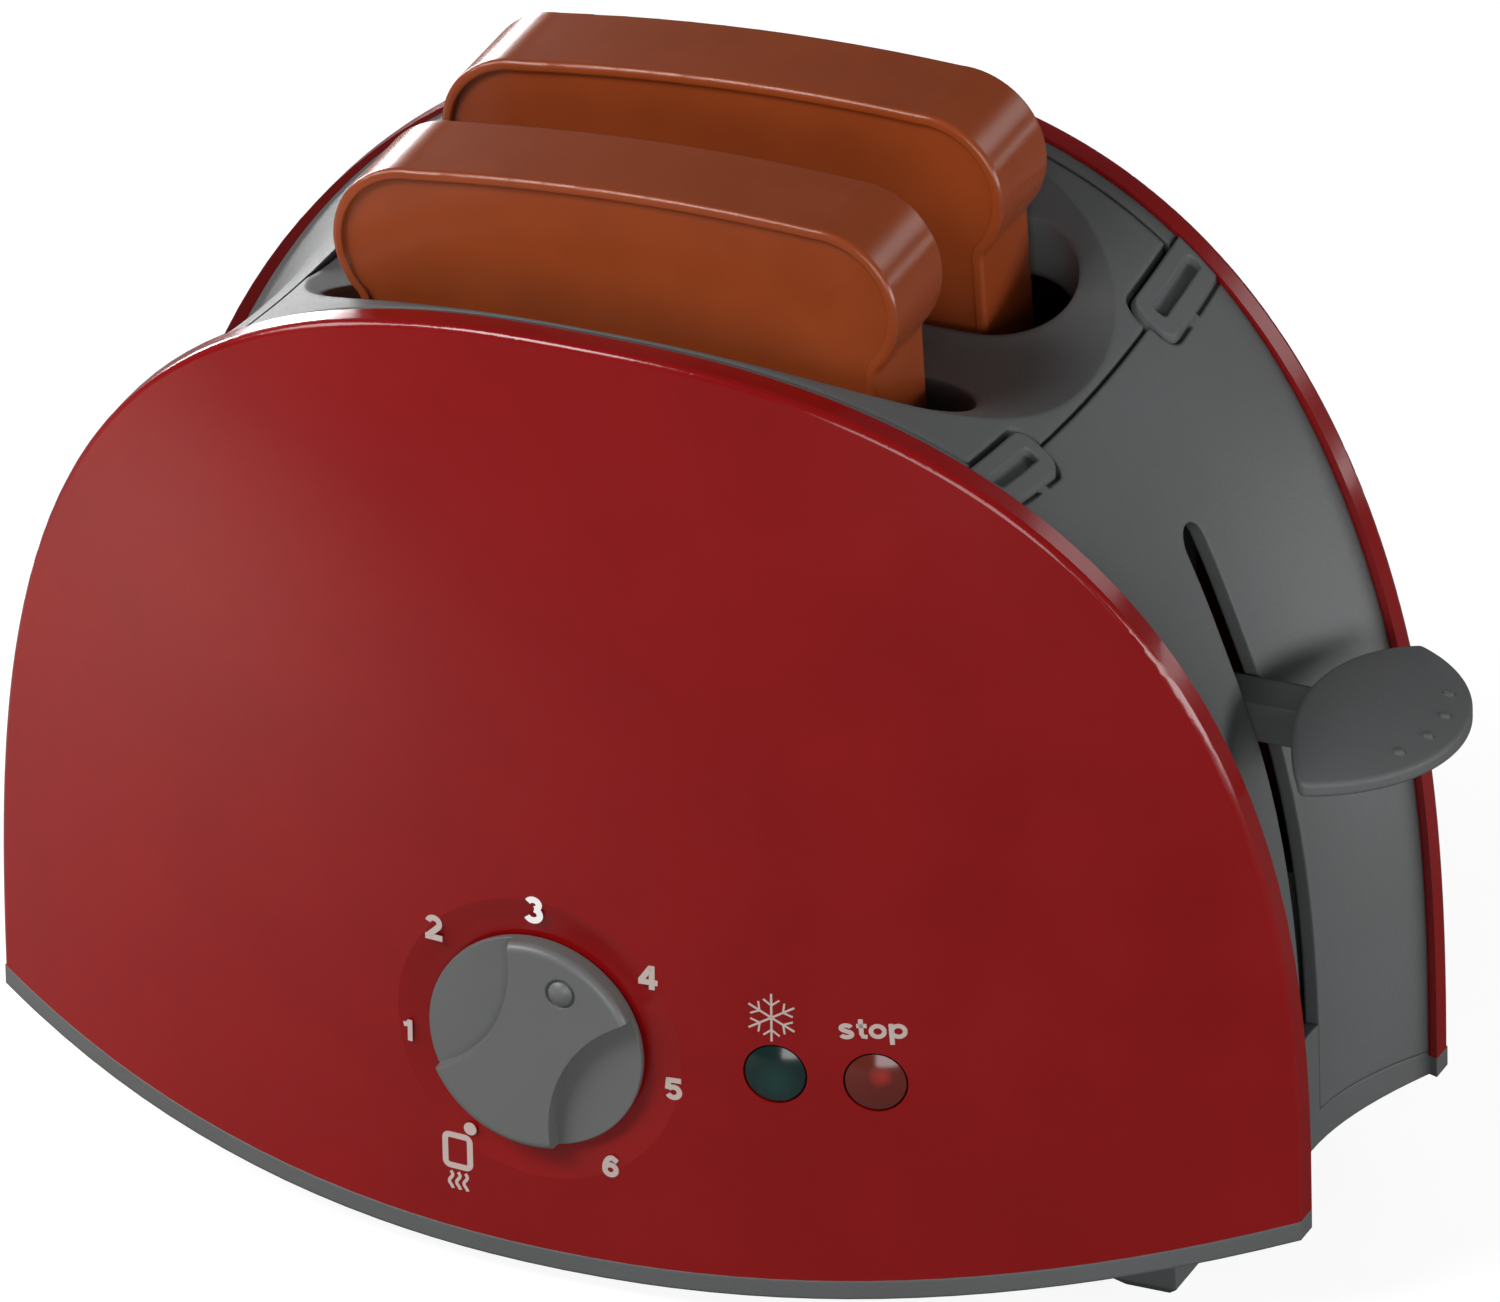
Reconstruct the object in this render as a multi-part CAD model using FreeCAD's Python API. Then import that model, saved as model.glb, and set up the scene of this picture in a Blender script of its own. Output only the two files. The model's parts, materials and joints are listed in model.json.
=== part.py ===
import FreeCAD, Part
import math
import os
from FreeCAD import Rotation, Vector

# A child's two-slot play toaster.  Millimetres, +Z up, the ground at Z = 0,
# +X towards the lever end, -Y towards the panel with the knob.  Every piece is
# drawn about the body's middle planes, and moved by OUTLINE_MIDDLE at the end.

# ---------------------------------------------------------------- body form
BODY_LENGTH = 240.0       # side panel, corner to corner
CORNER_HEIGHT = 19.5      # ground to the bottom corners of a side panel
ARCH_HEIGHT = 154.9       # bottom corners to the top of the arch
ARCH_POWER_X = 2.39       # how square the arch is along its length
ARCH_POWER_Z = 2.65       # and up its height
SMILE_DROP = 12.5         # sag of the bottom edge at its middle
END_HALF_WIDTH = 32.5     # middle plane to the panel face at a bottom corner
BOW = 35.5                # how much further out the face is at mid length
BOW_POWER = 2.16
LEAN = 11.2               # how far the face leans in at the top of the arch
LEAN_EASE = 1.65          # less of it towards the ends
LEAN_POWER = 2.7

# ---------------------------------------------------------------- mouldings
PANEL_WALL = 2.5
RIM_DEPTH = 4.8           # turned-in rim of a side panel
RIM_ROUND = 1.4
SHELL_WALL = 2.5
SEAM = 0.1                # gap between a panel rim and the grey shell
CROWN_STEP = 0.9          # grey shell below the panel's edge, over the top
END_STEP = 2.7            # and down the ends
CROWN_DIP = 3.0           # saddle hollow over the top
END_DIP = 8.9             # saddle hollow down the ends
DIP_STARTS = 60.0         # degrees along the arch where the hollow deepens
DIP_ENDS = 27.0
LIP_WALL = 2.0            # lip of the shell that lies inside the panel rim
LIP_REACH = 1.9
LIP_GAP = 0.15
LIP_STEP = 0.35           # lip's root below the shell's surface

# ---------------------------------------------------------------- top cover
COVER_LEFT = -67.5
COVER_RIGHT = 70.5
COVER_WALL = 2.5
COVER_GAP = 0.8           # seam round the cover
STRIP_WIDTH = 2.9         # grey strip between panel rim and cover
STRIP_WEB = 2.0
STRIP_WEB_DEPTH = 11.0
DISH_FLOOR = 152.5        # height of the dish along the middle
DISH_RADIUS = 66.7
SLOT_PITCH = 44.0
SLOT_WIDTH = 26.0
SLOT_LENGTH = 117.2
SLOT_CENTRE_X = -1.4
SLOT_LIP = 7.0            # rim of a slot below the dish
SLOT_LIP_WALL = 1.8
LUG_INNER = 24.0          # lug's inner end, from the middle plane
LUG_LENGTH = 24.0
LUG_WIDTH = 7.4
LUG_CENTRE = 70.5
LUG_RISE = 0.6
LUG_CORNER = 2.5
LUG_RECESS_WIDTH = 2.6
LUG_RECESS_LENGTH = 16.4
LUG_RECESS_MARGIN = 2.8    # from the lug's inner end
LUG_RECESS_DEPTH = 1.5
LUG_MOAT = 0.8

# ---------------------------------------------------------------- base tray
BASE_WALL = 3.5
BASE_SILL_TOP = 19.9
BASE_LIP_HEIGHT = 6.0
BASE_LIP_INSET = 2.8
BASE_LIP_WALL = 1.8
BASE_HOLLOW_X = 90.0      # the hollow ends lie beyond this
FOOT_X = 91.5
FOOT_Y = 28.5
FOOT_LENGTH = 12.0
FOOT_WIDTH = 10.0
FOOT_CHAMFER = 2.0

# ---------------------------------------------------------------- fasteners
SCREW_SHANK = 1.4
SCREW_HEAD = 2.9
SCREW_HEAD_HEIGHT = 1.9
SCREW_CROSS = 0.7
PILOT_GAP = 0.05
BOSS_RADIUS = 3.8
BASE_SCREW_X = 99.5
BASE_SCREW_Y = 15.0
BASE_POST_FOOT = 24.0
BASE_POST_TOP = 60.0
BASE_SCREW_LENGTH = 14.0
EAR_WALL = 3.0
LOW_EAR_X = 103.5
LOW_EAR_Z = 44.0
LOW_EAR_Y = 20.5
HIGH_EAR_X = 77.0
HIGH_EAR_Z = 134.0
HIGH_EAR_Y = 31.0
PANEL_SCREW_LENGTH = 9.0
COVER_SCREW_X = 63.5
COVER_EAR_TOP = 143.0
COVER_EAR_HALF = 5.0
COVER_SCREW_LENGTH = 7.5

# ---------------------------------------------------------------- lever and carriage
LEVER_SLOT_WIDTH = 7.4
LEVER_SLOT_FOOT = 36.3
LEVER_SLOT_TOP = 129.6
LEVER_TONGUE_GAP = 0.2
LEVER_WIDTH = 6.0
LEVER_TOP = 101.4         # rear edge of the arm's slanted top
LEVER_HEIGHT = 8.9
LEVER_SLANT = 1.9
LEVER_REACH = 119.0
ROD_RADIUS = 2.5
ROD_GAP = 0.05
ROD_X = 74.0
ROD_Y = 14.0
ROD_FOOT = 17.0
ROD_BOSS = 5.0
ROD_BOSS_TOP = 24.0
ROD_TOP = 140.0
ROD_SOCKET = 6.0
SLIDER_BOTTOM = 92.0
SLIDER_TOP = 120.0
SLIDER_LENGTH = 12.0
SLIDER_WIDTH = 40.0
BRIDGE_WIDTH = 16.0
BRIDGE_HEIGHT = 16.0
TRAY_WALL = 3.0
TRAY_WIDTH = 24.0
TRAY_LIP = 1.6
TRAY_LIP_HEIGHT = 4.0
TRAY_END = 61.0
SPRING_RADIUS = 3.2
SPRING_WIRE = 0.45
SPRING_TURNS = 11
SPRING_X = 71.0
SPRING_PEG = 1.3
SPRING_PEG_LENGTH = 4.0
SPRING_WELL = 4.4         # half size of the pocket round the spring

# ---------------------------------------------------------------- paddle
PADDLE_TIP_X = 118.0
PADDLE_HALF_SPAN = 26.5
PADDLE_INNER_X = 109.0
PADDLE_OUTER_X = 136.0
PADDLE_DOME_X = 104.2     # highest point of the dome
PADDLE_DOME_TOP = 103.6
PADDLE_DOME_RADIUS = 117.4
PADDLE_WALL = 2.2
PADDLE_ROUND = 0.9
PADDLE_TIP_ROUND = 1.3
PADDLE_SOCKET_WALL = 1.6
PADDLE_SOCKET_INSET = 0.6
PADDLE_FIT = 0.05
BUMP_RADIUS = 0.9
BUMP_RISE = 0.5
BUMP_RING = 24.5
BUMP_STEP = 17.5          # degrees
BUMP_COUNT = 4

# ---------------------------------------------------------------- toast
TOAST_CENTRE_X = -3.8
TOAST_WIDTH = 103.2
TOAST_THICKNESS = 20.0
TOAST_TOP = 190.6
TOAST_SHOULDER = 14.7
TOAST_CROWN = 1.75
TOAST_NECK_TURN = 42.0    # degrees that a shoulder runs on below its widest point
TOAST_NECK_ROUND = 2.5
TOAST_SEAT_GAP = 0.2
TOAST_CORNER = 5.0
TOAST_BEAD = 1.8
TOAST_RECESS = 0.9
TOAST_ROUND = 0.8
TOAST_WALL = 2.2
TOAST_LEAN_FRONT = 2.35   # degrees that a slice stands askew in its slot
TOAST_LEAN_REAR = 3.05

# ---------------------------------------------------------------- knob
KNOB_X = -4.2
KNOB_Z = 47.1
KNOB_RADIUS = 19.5
KNOB_PROUD = 3.2
KNOB_ROUND = 1.5
KNOB_CLEARANCE = 0.5
KNOB_POINTER = 27.5       # degrees clockwise from straight up
SCOOP_RADIUS = 25.2
SCOOP_CENTRE = 32.2
SCOOP_DEPTH = 2.9
POINTER_RADIUS = 2.2
POINTER_RING = 13.2
POINTER_RISE = 0.9
POINTER_GROOVE = 0.5      # ring round the pointer dome
SEAT_DEPTH = 1.3
SEAT_RADIUS = 19.8         # where the hollow starts to rise
SEAT_OUTER = 27.4         # where it has risen past the face
SEAT_OVER = 0.08
SEAT_WALL = 2.6
SHAFT_RADIUS = 4.0
SHAFT_GAP = 0.06
SHAFT_END = 13.0          # from the panel seat inwards
WHEEL_RADIUS = 10.0
WHEEL_THICKNESS = 4.0
WHEEL_GAP = 0.5
WHEEL_NOTCH = 1.3
WHEEL_PITCH = 49.3        # degrees between marks
WHEEL_MARKS = 7
WHEEL_TAB = 5.0
WHEEL_TAB_WALL = 1.8
STOP_POST_RING = 13.5
STOP_POST_RADIUS = 1.8
KNOB_SCREW_LENGTH = 8.0
CLICK_LEAF = 0.6
CLICK_GAP = 0.3
CLICK_WIDTH = 5.0
CLICK_NOSE_RADIUS = 1.2
CLICK_NOSE_LENGTH = 1.6
CLICK_SCREW_LENGTH = 6.0
CLICK_POST_X = 19.0       # post of the click spring, from the knob's axis
CLICK_POST_RADIUS = 3.4

# ---------------------------------------------------------------- buttons
DEFROST_X = 38.3
STOP_X = 55.1
BUTTON_Z = 47.8
BUTTON_RADIUS = 5.2
BUTTON_GAP = 0.35
BUTTON_PROUD = 0.9
BUTTON_DOME = 1.1
BUTTON_FLANGE = 7.0
BUTTON_FLANGE_WALL = 1.2
BUTTON_REST_GAP = 0.3
STEM_RADIUS = 1.9
STEM_GAP = 0.08
STEM_BACK = 43.7          # stem's end, from the middle plane
BRACKET_Y = 46.0
BRACKET_WALL = 2.4
BRACKET_HEIGHT = 15.0
BRACKET_LEFT = 21.6
BRACKET_RIGHT = 69.6
BRACKET_BOSS = 3.8
BRACKET_BOSS_HALF = 3.0
BRACKET_SCREW_INSET = 3.8
BRACKET_SCREW_LENGTH = 7.0
BUTTON_SPRING_RADIUS = 2.9
BUTTON_SPRING_WIRE = 0.3
BUTTON_SPRING_TURNS = 4

# ---------------------------------------------------------------- latch
LATCH_Y = 38.0
LATCH_Z = 57.0
LATCH_PIN_RADIUS = 1.5
LATCH_PIN_GAP = 0.05
LATCH_WALL = 3.0
LATCH_HUB = 3.2
LATCH_LEFT = 46.5
LATCH_RIGHT = 76.0
LATCH_NOSE_WIDTH = 6.0
LATCH_NOSE_CLEAR = 0.5
LATCH_NOSE_Z = 68.6
LATCH_NOSE_HEIGHT = 3.5
LATCH_ARM_WIDTH = 7.0
LATCH_ARM_DROP = 12.0
LATCH_EAR_WALL = 3.0
LATCH_EAR_WIDTH = 7.0
LATCH_EAR_GAP = 0.4

# ---------------------------------------------------------------- derived
HALF_LENGTH = BODY_LENGTH / 2
SMILE_RADIUS = (HALF_LENGTH ** 2 + SMILE_DROP ** 2) / (2 * SMILE_DROP)
FAR = 4 * BODY_LENGTH
GROUND_CLEAR = 30.0       # how far working solids run on below the corners
SIDES = (-1, 1)           # front and rear, or left and right
OUTLINE_MIDDLE = Vector(8.0, -2.2, 0)   # of the whole toaster, with its lever and knob


# ---------------------------------------------------------------- form helpers
def signed_power(value, power):
    return math.copysign(abs(value) ** power, value)


def arch_point(turn, inset=0.0):
    """Point of the arch in the XZ plane; turn runs from 0 at the right corner to pi at the left."""
    x = HALF_LENGTH * signed_power(math.cos(turn), 2 / ARCH_POWER_X)
    z = ARCH_HEIGHT * max(math.sin(turn), 0.0) ** (2 / ARCH_POWER_Z)
    slope_x = ARCH_POWER_X * signed_power(x / HALF_LENGTH, ARCH_POWER_X - 1) / HALF_LENGTH
    slope_z = ARCH_POWER_Z * (z / ARCH_HEIGHT) ** (ARCH_POWER_Z - 1) / ARCH_HEIGHT
    steep = math.hypot(slope_x, slope_z)
    return x - inset * slope_x / steep, CORNER_HEIGHT + z - inset * slope_z / steep


def face_y(x, z):
    """Distance from the middle plane to the outer face of a side panel."""
    along = min(abs(x) / HALF_LENGTH, 1.05)
    up = max(z - CORNER_HEIGHT, 0.0) / ARCH_HEIGHT
    lean = (LEAN - LEAN_EASE * along ** 2) * up ** LEAN_POWER
    return END_HALF_WIDTH + BOW * (1 - along ** BOW_POWER) - lean


def face_normal(x, z):
    """Outward unit normal of the front panel at x, z."""
    step = 0.5
    slope_x = (face_y(x + step, z) - face_y(x - step, z)) / (2 * step)
    slope_z = (face_y(x, z + step) - face_y(x, z - step)) / (2 * step)
    normal = Vector(-slope_x, -1, -slope_z)
    normal.normalize()
    return normal


def saddle_depth(turn, y):
    """Depth of the grey shell's surface below the arch."""
    x, z = arch_point(turn)
    degrees = math.degrees(min(turn, math.pi - turn))
    share = min(max((DIP_STARTS - degrees) / (DIP_STARTS - DIP_ENDS), 0.0), 1.0)
    share = share * share * (3 - 2 * share)
    step = CROWN_STEP + (END_STEP - CROWN_STEP) * share
    dip = CROWN_DIP + (END_DIP - CROWN_DIP) * share
    half = face_y(x, z) - RIM_DEPTH
    return step + dip * (1 - (y / half) ** 2)


def spline_edge(points):
    curve = Part.BSplineCurve()
    curve.interpolate(points)
    return curve.toShape()


def box(x0, x1, y0, y1, z0, z1):
    return Part.makeBox(x1 - x0, y1 - y0, z1 - z0, Vector(x0, y0, z0))


def rod(start, direction, radius, length):
    return Part.makeCylinder(radius, length, start, direction)


def mirrored(shape):
    """The same shape on the other side of the middle plane."""
    return shape.mirror(Vector(0, 0, 0), Vector(0, 1, 0))


def fuse(first, *others):
    shape = first
    for other in others:
        shape = shape.fuse(other)
    return shape.removeSplitter()


def arch_block(inset):
    """The arch as a thick plate through the whole width, with straight legs."""
    steps = 28
    points = []
    for step in range(steps + 1):
        x, z = arch_point(math.pi * step / steps, inset)
        points.append(Vector(x, -FAR / 8, z))
    right = points[0]
    left = points[-1]
    down = Vector(0, 0, -GROUND_CLEAR)
    wire = Part.Wire([
        spline_edge(points),
        Part.makeLine(left, left + down),
        Part.makeLine(left + down, right + down),
        Part.makeLine(right + down, right),
    ])
    return Part.Face(wire).extrude(Vector(0, FAR / 4, 0))


def front_bow(inset):
    """Outer face of the front panel, moved inwards by inset, as a wide sheet."""
    columns = 17
    rows = 11
    low = CORNER_HEIGHT - GROUND_CLEAR
    high = CORNER_HEIGHT + ARCH_HEIGHT + 5.0
    reach = 1.04 * HALF_LENGTH
    grid = []
    for column in range(columns):
        x = reach * (2 * column / (columns - 1) - 1)
        line = []
        for row in range(rows):
            z = low + (high - low) * row / (rows - 1)
            line.append(Vector(x, inset - face_y(x, z), z))
        grid.append(line)
    surface = Part.BSplineSurface()
    surface.interpolate(grid)
    return surface.toShape()


def between_bows(inset):
    """Everything between the two panel faces, each moved inwards by inset."""
    front = front_bow(inset).extrude(Vector(0, BODY_LENGTH, 0))
    return front.common(mirrored(front))


def saddle_block(depth):
    """Everything under the grey shell's surface, moved inwards by depth."""
    rows = 9
    steps = 36
    reach = END_HALF_WIDTH + BOW - LEAN
    grid = []
    for row in range(rows):
        y = reach * (2 * row / (rows - 1) - 1)
        line = []
        for step in range(steps + 1):
            turn = math.pi * step / steps
            x, z = arch_point(turn, saddle_depth(turn, y) + depth)
            line.append(Vector(x, y, z))
        legs = [0.25, 0.5, 0.75, 1.0]
        right = [line[0] - Vector(0, 0, GROUND_CLEAR * leg) for leg in reversed(legs)]
        left = [line[-1] - Vector(0, 0, GROUND_CLEAR * leg) for leg in legs]
        grid.append(right + line + left)
    surface = Part.BSplineSurface()
    surface.interpolate(grid)
    sheet = surface.toShape()
    floor = CORNER_HEIGHT - GROUND_CLEAR
    sides = [edge for edge in sheet.Edges if abs(edge.BoundBox.YLength) < 0.01]
    feet = [edge for edge in sheet.Edges if abs(edge.BoundBox.YLength) >= 0.01]
    faces = [sheet]
    closing = []
    for edge in sides:
        ends = [vertex.Point for vertex in edge.Vertexes]
        line = Part.makeLine(ends[0], ends[1])
        closing.append(line)
        faces.append(Part.Face(Part.Wire(Part.sortEdges([edge, line])[0])))
    faces.append(Part.Face(Part.Wire(Part.sortEdges(feet + closing)[0])))
    shell = Part.makeShell(faces)
    shell.sewShape()
    block = Part.makeSolid(shell)
    if block.Volume < 0:
        block.reverse()
    return block


def smile_block(drop):
    """Everything above the curved bottom edge, which is lowered by drop."""
    centre = Vector(0, -FAR / 8, CORNER_HEIGHT - SMILE_DROP + SMILE_RADIUS)
    return Part.makeCylinder(SMILE_RADIUS + drop, FAR / 4, centre, Vector(0, 1, 0))


def smile_z(x, drop=0.0):
    radius = SMILE_RADIUS + drop
    return CORNER_HEIGHT - SMILE_DROP + SMILE_RADIUS - math.sqrt(radius ** 2 - x ** 2)


def dish_block(lower):
    """Everything under the dish, which runs the length of the toaster."""
    radius = DISH_RADIUS + lower
    reach = END_HALF_WIDTH + BOW
    axis = DISH_FLOOR + DISH_RADIUS
    edge_z = axis - math.sqrt(max(radius ** 2 - reach ** 2, 1.0)) if radius > reach else axis
    half = min(reach, radius)
    arc = Part.Arc(
        Vector(-FAR / 8, -half, edge_z),
        Vector(-FAR / 8, 0, axis - radius),
        Vector(-FAR / 8, half, edge_z),
    ).toShape()
    wire = Part.Wire([
        arc,
        Part.makeLine(Vector(-FAR / 8, half, edge_z), Vector(-FAR / 8, half, 0)),
        Part.makeLine(Vector(-FAR / 8, half, 0), Vector(-FAR / 8, -half, 0)),
        Part.makeLine(Vector(-FAR / 8, -half, 0), Vector(-FAR / 8, -half, edge_z)),
    ])
    return Part.Face(wire).extrude(Vector(FAR / 4, 0, 0))


def rounded_plate(x0, x1, y0, y1, radius):
    """Upright prism with rounded corners, through the whole height."""
    block = box(x0, x1, y0, y1, 0, FAR / 4)
    upright = [edge for edge in block.Edges if edge.BoundBox.ZLength > FAR / 8]
    return block.makeFillet(radius, upright)


def slot_prism(side, grow=0.0):
    """Upright prism of one toast slot, rounded at both ends."""
    radius = SLOT_WIDTH / 2 + grow
    middle = side * SLOT_PITCH / 2
    reach = SLOT_LENGTH / 2 - SLOT_WIDTH / 2
    left = SLOT_CENTRE_X - reach
    right = SLOT_CENTRE_X + reach
    block = box(left, right, middle - radius, middle + radius, 0, FAR / 4)
    for end in (left, right):
        block = block.fuse(Part.makeCylinder(radius, FAR / 4, Vector(end, middle, 0)))
    return block.removeSplitter()


def screw(head_base, direction, length):
    """Pan head screw; head_base is under the head, direction points to the tip."""
    axis = Vector(direction)
    axis.normalize()
    head = rod(head_base - axis * SCREW_HEAD_HEIGHT, axis, SCREW_HEAD, SCREW_HEAD_HEIGHT)
    shank = rod(head_base, axis, SCREW_SHANK, length)
    turn = Rotation(Vector(0, 0, 1), axis)
    cross = box(-SCREW_HEAD * 0.6, SCREW_HEAD * 0.6, -SCREW_CROSS / 2, SCREW_CROSS / 2, 0, 1.2)
    other = cross.copy()
    other.rotate(Vector(0, 0, 0), Vector(0, 0, 1), 90)
    cutter = cross.fuse(other)
    cutter.Placement = FreeCAD.Placement(head_base - axis * (SCREW_HEAD_HEIGHT + 0.1), turn)
    return fuse(head, shank).cut(cutter)


def pilot(head_base, direction, length):
    axis = Vector(direction)
    axis.normalize()
    return rod(head_base - axis * 0.5, axis, SCREW_SHANK + PILOT_GAP, length + 1.0)


def coil(start, direction, radius, wire, turns, length):
    """Helical spring of six-sided wire that stands on start."""
    path = Part.makeHelix(length / turns, length, radius)
    corners = []
    for corner in range(7):
        angle = math.radians(60 * corner)
        corners.append(Vector(radius + wire * math.cos(angle), 0, wire * math.sin(angle)))
    profile = Part.makePolygon(corners)
    spring = Part.Wire(path.Edges).makePipeShell([profile], True, True)
    spring.Placement = FreeCAD.Placement(start, Rotation(Vector(0, 0, 1), direction))
    return spring


# ---------------------------------------------------------------- screw places
def low_ear(side_x, side_y):
    return Vector(side_x * LOW_EAR_X, side_y * LOW_EAR_Y, LOW_EAR_Z)


def high_ear(side_x, side_y):
    return Vector(side_x * HIGH_EAR_X, side_y * HIGH_EAR_Y, HIGH_EAR_Z)


def panel_screw_seats(side_y):
    """Under the heads of the four screws that hold one side panel."""
    seats = []
    for side_x in SIDES:
        seats.append(low_ear(side_x, side_y))
        seats.append(high_ear(side_x, side_y))
    return seats


# ---------------------------------------------------------------- button places
def button_frame(x):
    """Centre of a button's hole on the panel face, and the inward axis."""
    centre = Vector(x, -face_y(x, BUTTON_Z), BUTTON_Z)
    return centre, face_normal(x, BUTTON_Z) * -1


def bracket_screw_seats():
    """Under the heads of the bracket's two screws, on the inner side of its plate."""
    inner = -BRACKET_Y + BRACKET_WALL / 2
    return [
        Vector(BRACKET_LEFT + BRACKET_SCREW_INSET, inner, BUTTON_Z),
        Vector(BRACKET_RIGHT - BRACKET_SCREW_INSET, inner, BUTTON_Z),
    ]


# ---------------------------------------------------------------- shared solids
OUTER_ARCH = arch_block(0.0)
INNER_ARCH = arch_block(PANEL_WALL)
WITHIN_RIMS = between_bows(RIM_DEPTH + SEAM)
SADDLE = saddle_block(0.0)
SADDLE_INSIDE = saddle_block(SHELL_WALL)
SEAT_Y = -face_y(KNOB_X, KNOB_Z) + SEAT_DEPTH


# ---------------------------------------------------------------- side panels
def plain_panel(side_y):
    """One bowed shell with its turned-in rim and four screw bosses."""
    slab = front_bow(0.0).extrude(Vector(0, RIM_DEPTH, 0))
    slab = slab.common(OUTER_ARCH).common(smile_block(0.0))
    outer = [edge for edge in slab.Edges if is_outer_rim(edge)]
    slab = slab.makeFillet(RIM_ROUND, outer)
    behind = front_bow(PANEL_WALL).extrude(Vector(0, BODY_LENGTH, 0))
    hollow = behind.common(INNER_ARCH)
    panel = slab.cut(hollow)
    bosses = []
    for seat in panel_screw_seats(-1):
        start = Vector(seat.x, seat.y - EAR_WALL, seat.z)
        boss = rod(start, Vector(0, -1, 0), BOSS_RADIUS, BODY_LENGTH / 4)
        boss = boss.common(front_bow(PANEL_WALL / 2).extrude(Vector(0, BODY_LENGTH, 0)))
        bosses.append(boss)
    panel = fuse(panel, *bosses)
    for seat in panel_screw_seats(-1):
        panel = panel.cut(pilot(seat, Vector(0, -1, 0), PANEL_SCREW_LENGTH))
    if side_y > 0:
        panel = mirrored(panel)
    return panel


def is_outer_rim(edge):
    """True for the arched edge between the panel's face and its rim."""
    middle = edge.valueAt((edge.FirstParameter + edge.LastParameter) / 2)
    on_face = abs(-middle.y - face_y(middle.x, middle.z)) < 0.05
    above = middle.z > CORNER_HEIGHT + ARCH_HEIGHT / 2
    return on_face and above


def knob_seat(panel):
    """The shallow seat of the knob, its bearing hole and the parts behind it."""
    inward = Vector(0, 1, 0)
    centre = Vector(KNOB_X, SEAT_Y, KNOB_Z)
    root = SEAT_WALL / 2
    back = rod(centre - inward * SEAT_DEPTH / 2, inward, SEAT_OUTER, SEAT_DEPTH / 2 + SEAT_WALL)
    bearing = rod(centre + inward * root, inward, SHAFT_RADIUS + 2.4, SEAT_WALL + 2.0 - root)
    post = rod(
        Vector(KNOB_X, SEAT_Y + root, KNOB_Z - STOP_POST_RING), inward, STOP_POST_RADIUS,
        wheel_front() + WHEEL_TAB_WALL - SEAT_Y - root,
    )
    click_post = rod(
        Vector(KNOB_X - CLICK_POST_X, SEAT_Y + root, KNOB_Z), inward, CLICK_POST_RADIUS,
        wheel_back() - SEAT_Y - root,
    )
    click_post = click_post.cut(pilot(click_screw_seat(), inward * -1, CLICK_SCREW_LENGTH))
    inside = front_bow(PANEL_WALL / 2).extrude(Vector(0, BODY_LENGTH, 0))
    panel = fuse(panel, fuse(back, bearing, post, click_post).common(inside))
    panel = panel.cut(seat_cutter())
    return panel.cut(rod(centre - inward, inward, SHAFT_RADIUS + SHAFT_GAP, BODY_LENGTH / 8))


def seat_cutter():
    """Block whose inner side follows the bowed face, with the hollow standing out of it."""
    half = SEAT_OUTER + 0.6
    grid = []
    for column in range(33):
        x = KNOB_X + half * (column / 16 - 1)
        line = []
        for row in range(33):
            z = KNOB_Z + half * (row / 16 - 1)
            radius = math.hypot(x - KNOB_X, z - KNOB_Z)
            share = min(max((radius - SEAT_RADIUS) / (SEAT_OUTER - SEAT_RADIUS), 0.0), 1.0)
            rise = (1 + math.cos(math.pi * share)) / 2
            depth = (SEAT_DEPTH + SEAT_OVER) * rise - SEAT_OVER
            line.append(Vector(x, depth - face_y(x, z), z))
        grid.append(line)
    surface = Part.BSplineSurface()
    surface.interpolate(grid)
    return surface.toShape().extrude(Vector(0, -SEAT_OUTER / 2, 0))


def click_screw_seat():
    return Vector(KNOB_X - CLICK_POST_X, wheel_back() + CLICK_LEAF, KNOB_Z)


def front_panel():
    panel = knob_seat(plain_panel(-1))
    inside = front_bow(PANEL_WALL / 2).extrude(Vector(0, BODY_LENGTH, 0))
    for seat in bracket_screw_seats():
        start = Vector(seat.x, -BRACKET_Y - BRACKET_WALL / 2, seat.z)
        panel = panel.fuse(rod(start, Vector(0, -1, 0), BOSS_RADIUS, BODY_LENGTH / 8).common(inside))
    for x in (DEFROST_X, STOP_X):
        centre, inward = button_frame(x)
        panel = panel.cut(rod(centre - inward * 5, inward, BUTTON_RADIUS + BUTTON_GAP, 12))
    for seat in bracket_screw_seats():
        panel = panel.cut(pilot(seat, Vector(0, -1, 0), BRACKET_SCREW_LENGTH))
    return panel.removeSplitter()


def rear_panel():
    return plain_panel(1)


# ---------------------------------------------------------------- grey shell
def lug_plate(side_y, grow=0.0):
    """Upright prism of one raised lug beside the cover's right-hand seam."""
    x0 = LUG_CENTRE - LUG_WIDTH / 2 - grow
    x1 = LUG_CENTRE + LUG_WIDTH / 2 + grow
    plate = rounded_plate(x0, x1, LUG_INNER - grow, LUG_INNER + LUG_LENGTH, LUG_CORNER + grow)
    if side_y < 0:
        plate = mirrored(plate)
    return plate


def cover_outline(grow):
    """Upright prism of the top cover, cut out round the two lugs."""
    prism = box(COVER_LEFT - grow, COVER_RIGHT + grow, -BODY_LENGTH, BODY_LENGTH, 0, FAR / 4)
    prism = prism.common(between_bows(RIM_DEPTH + STRIP_WIDTH - grow))
    for side_y in SIDES:
        prism = prism.cut(lug_plate(side_y, LUG_MOAT - grow))
    return prism


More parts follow.
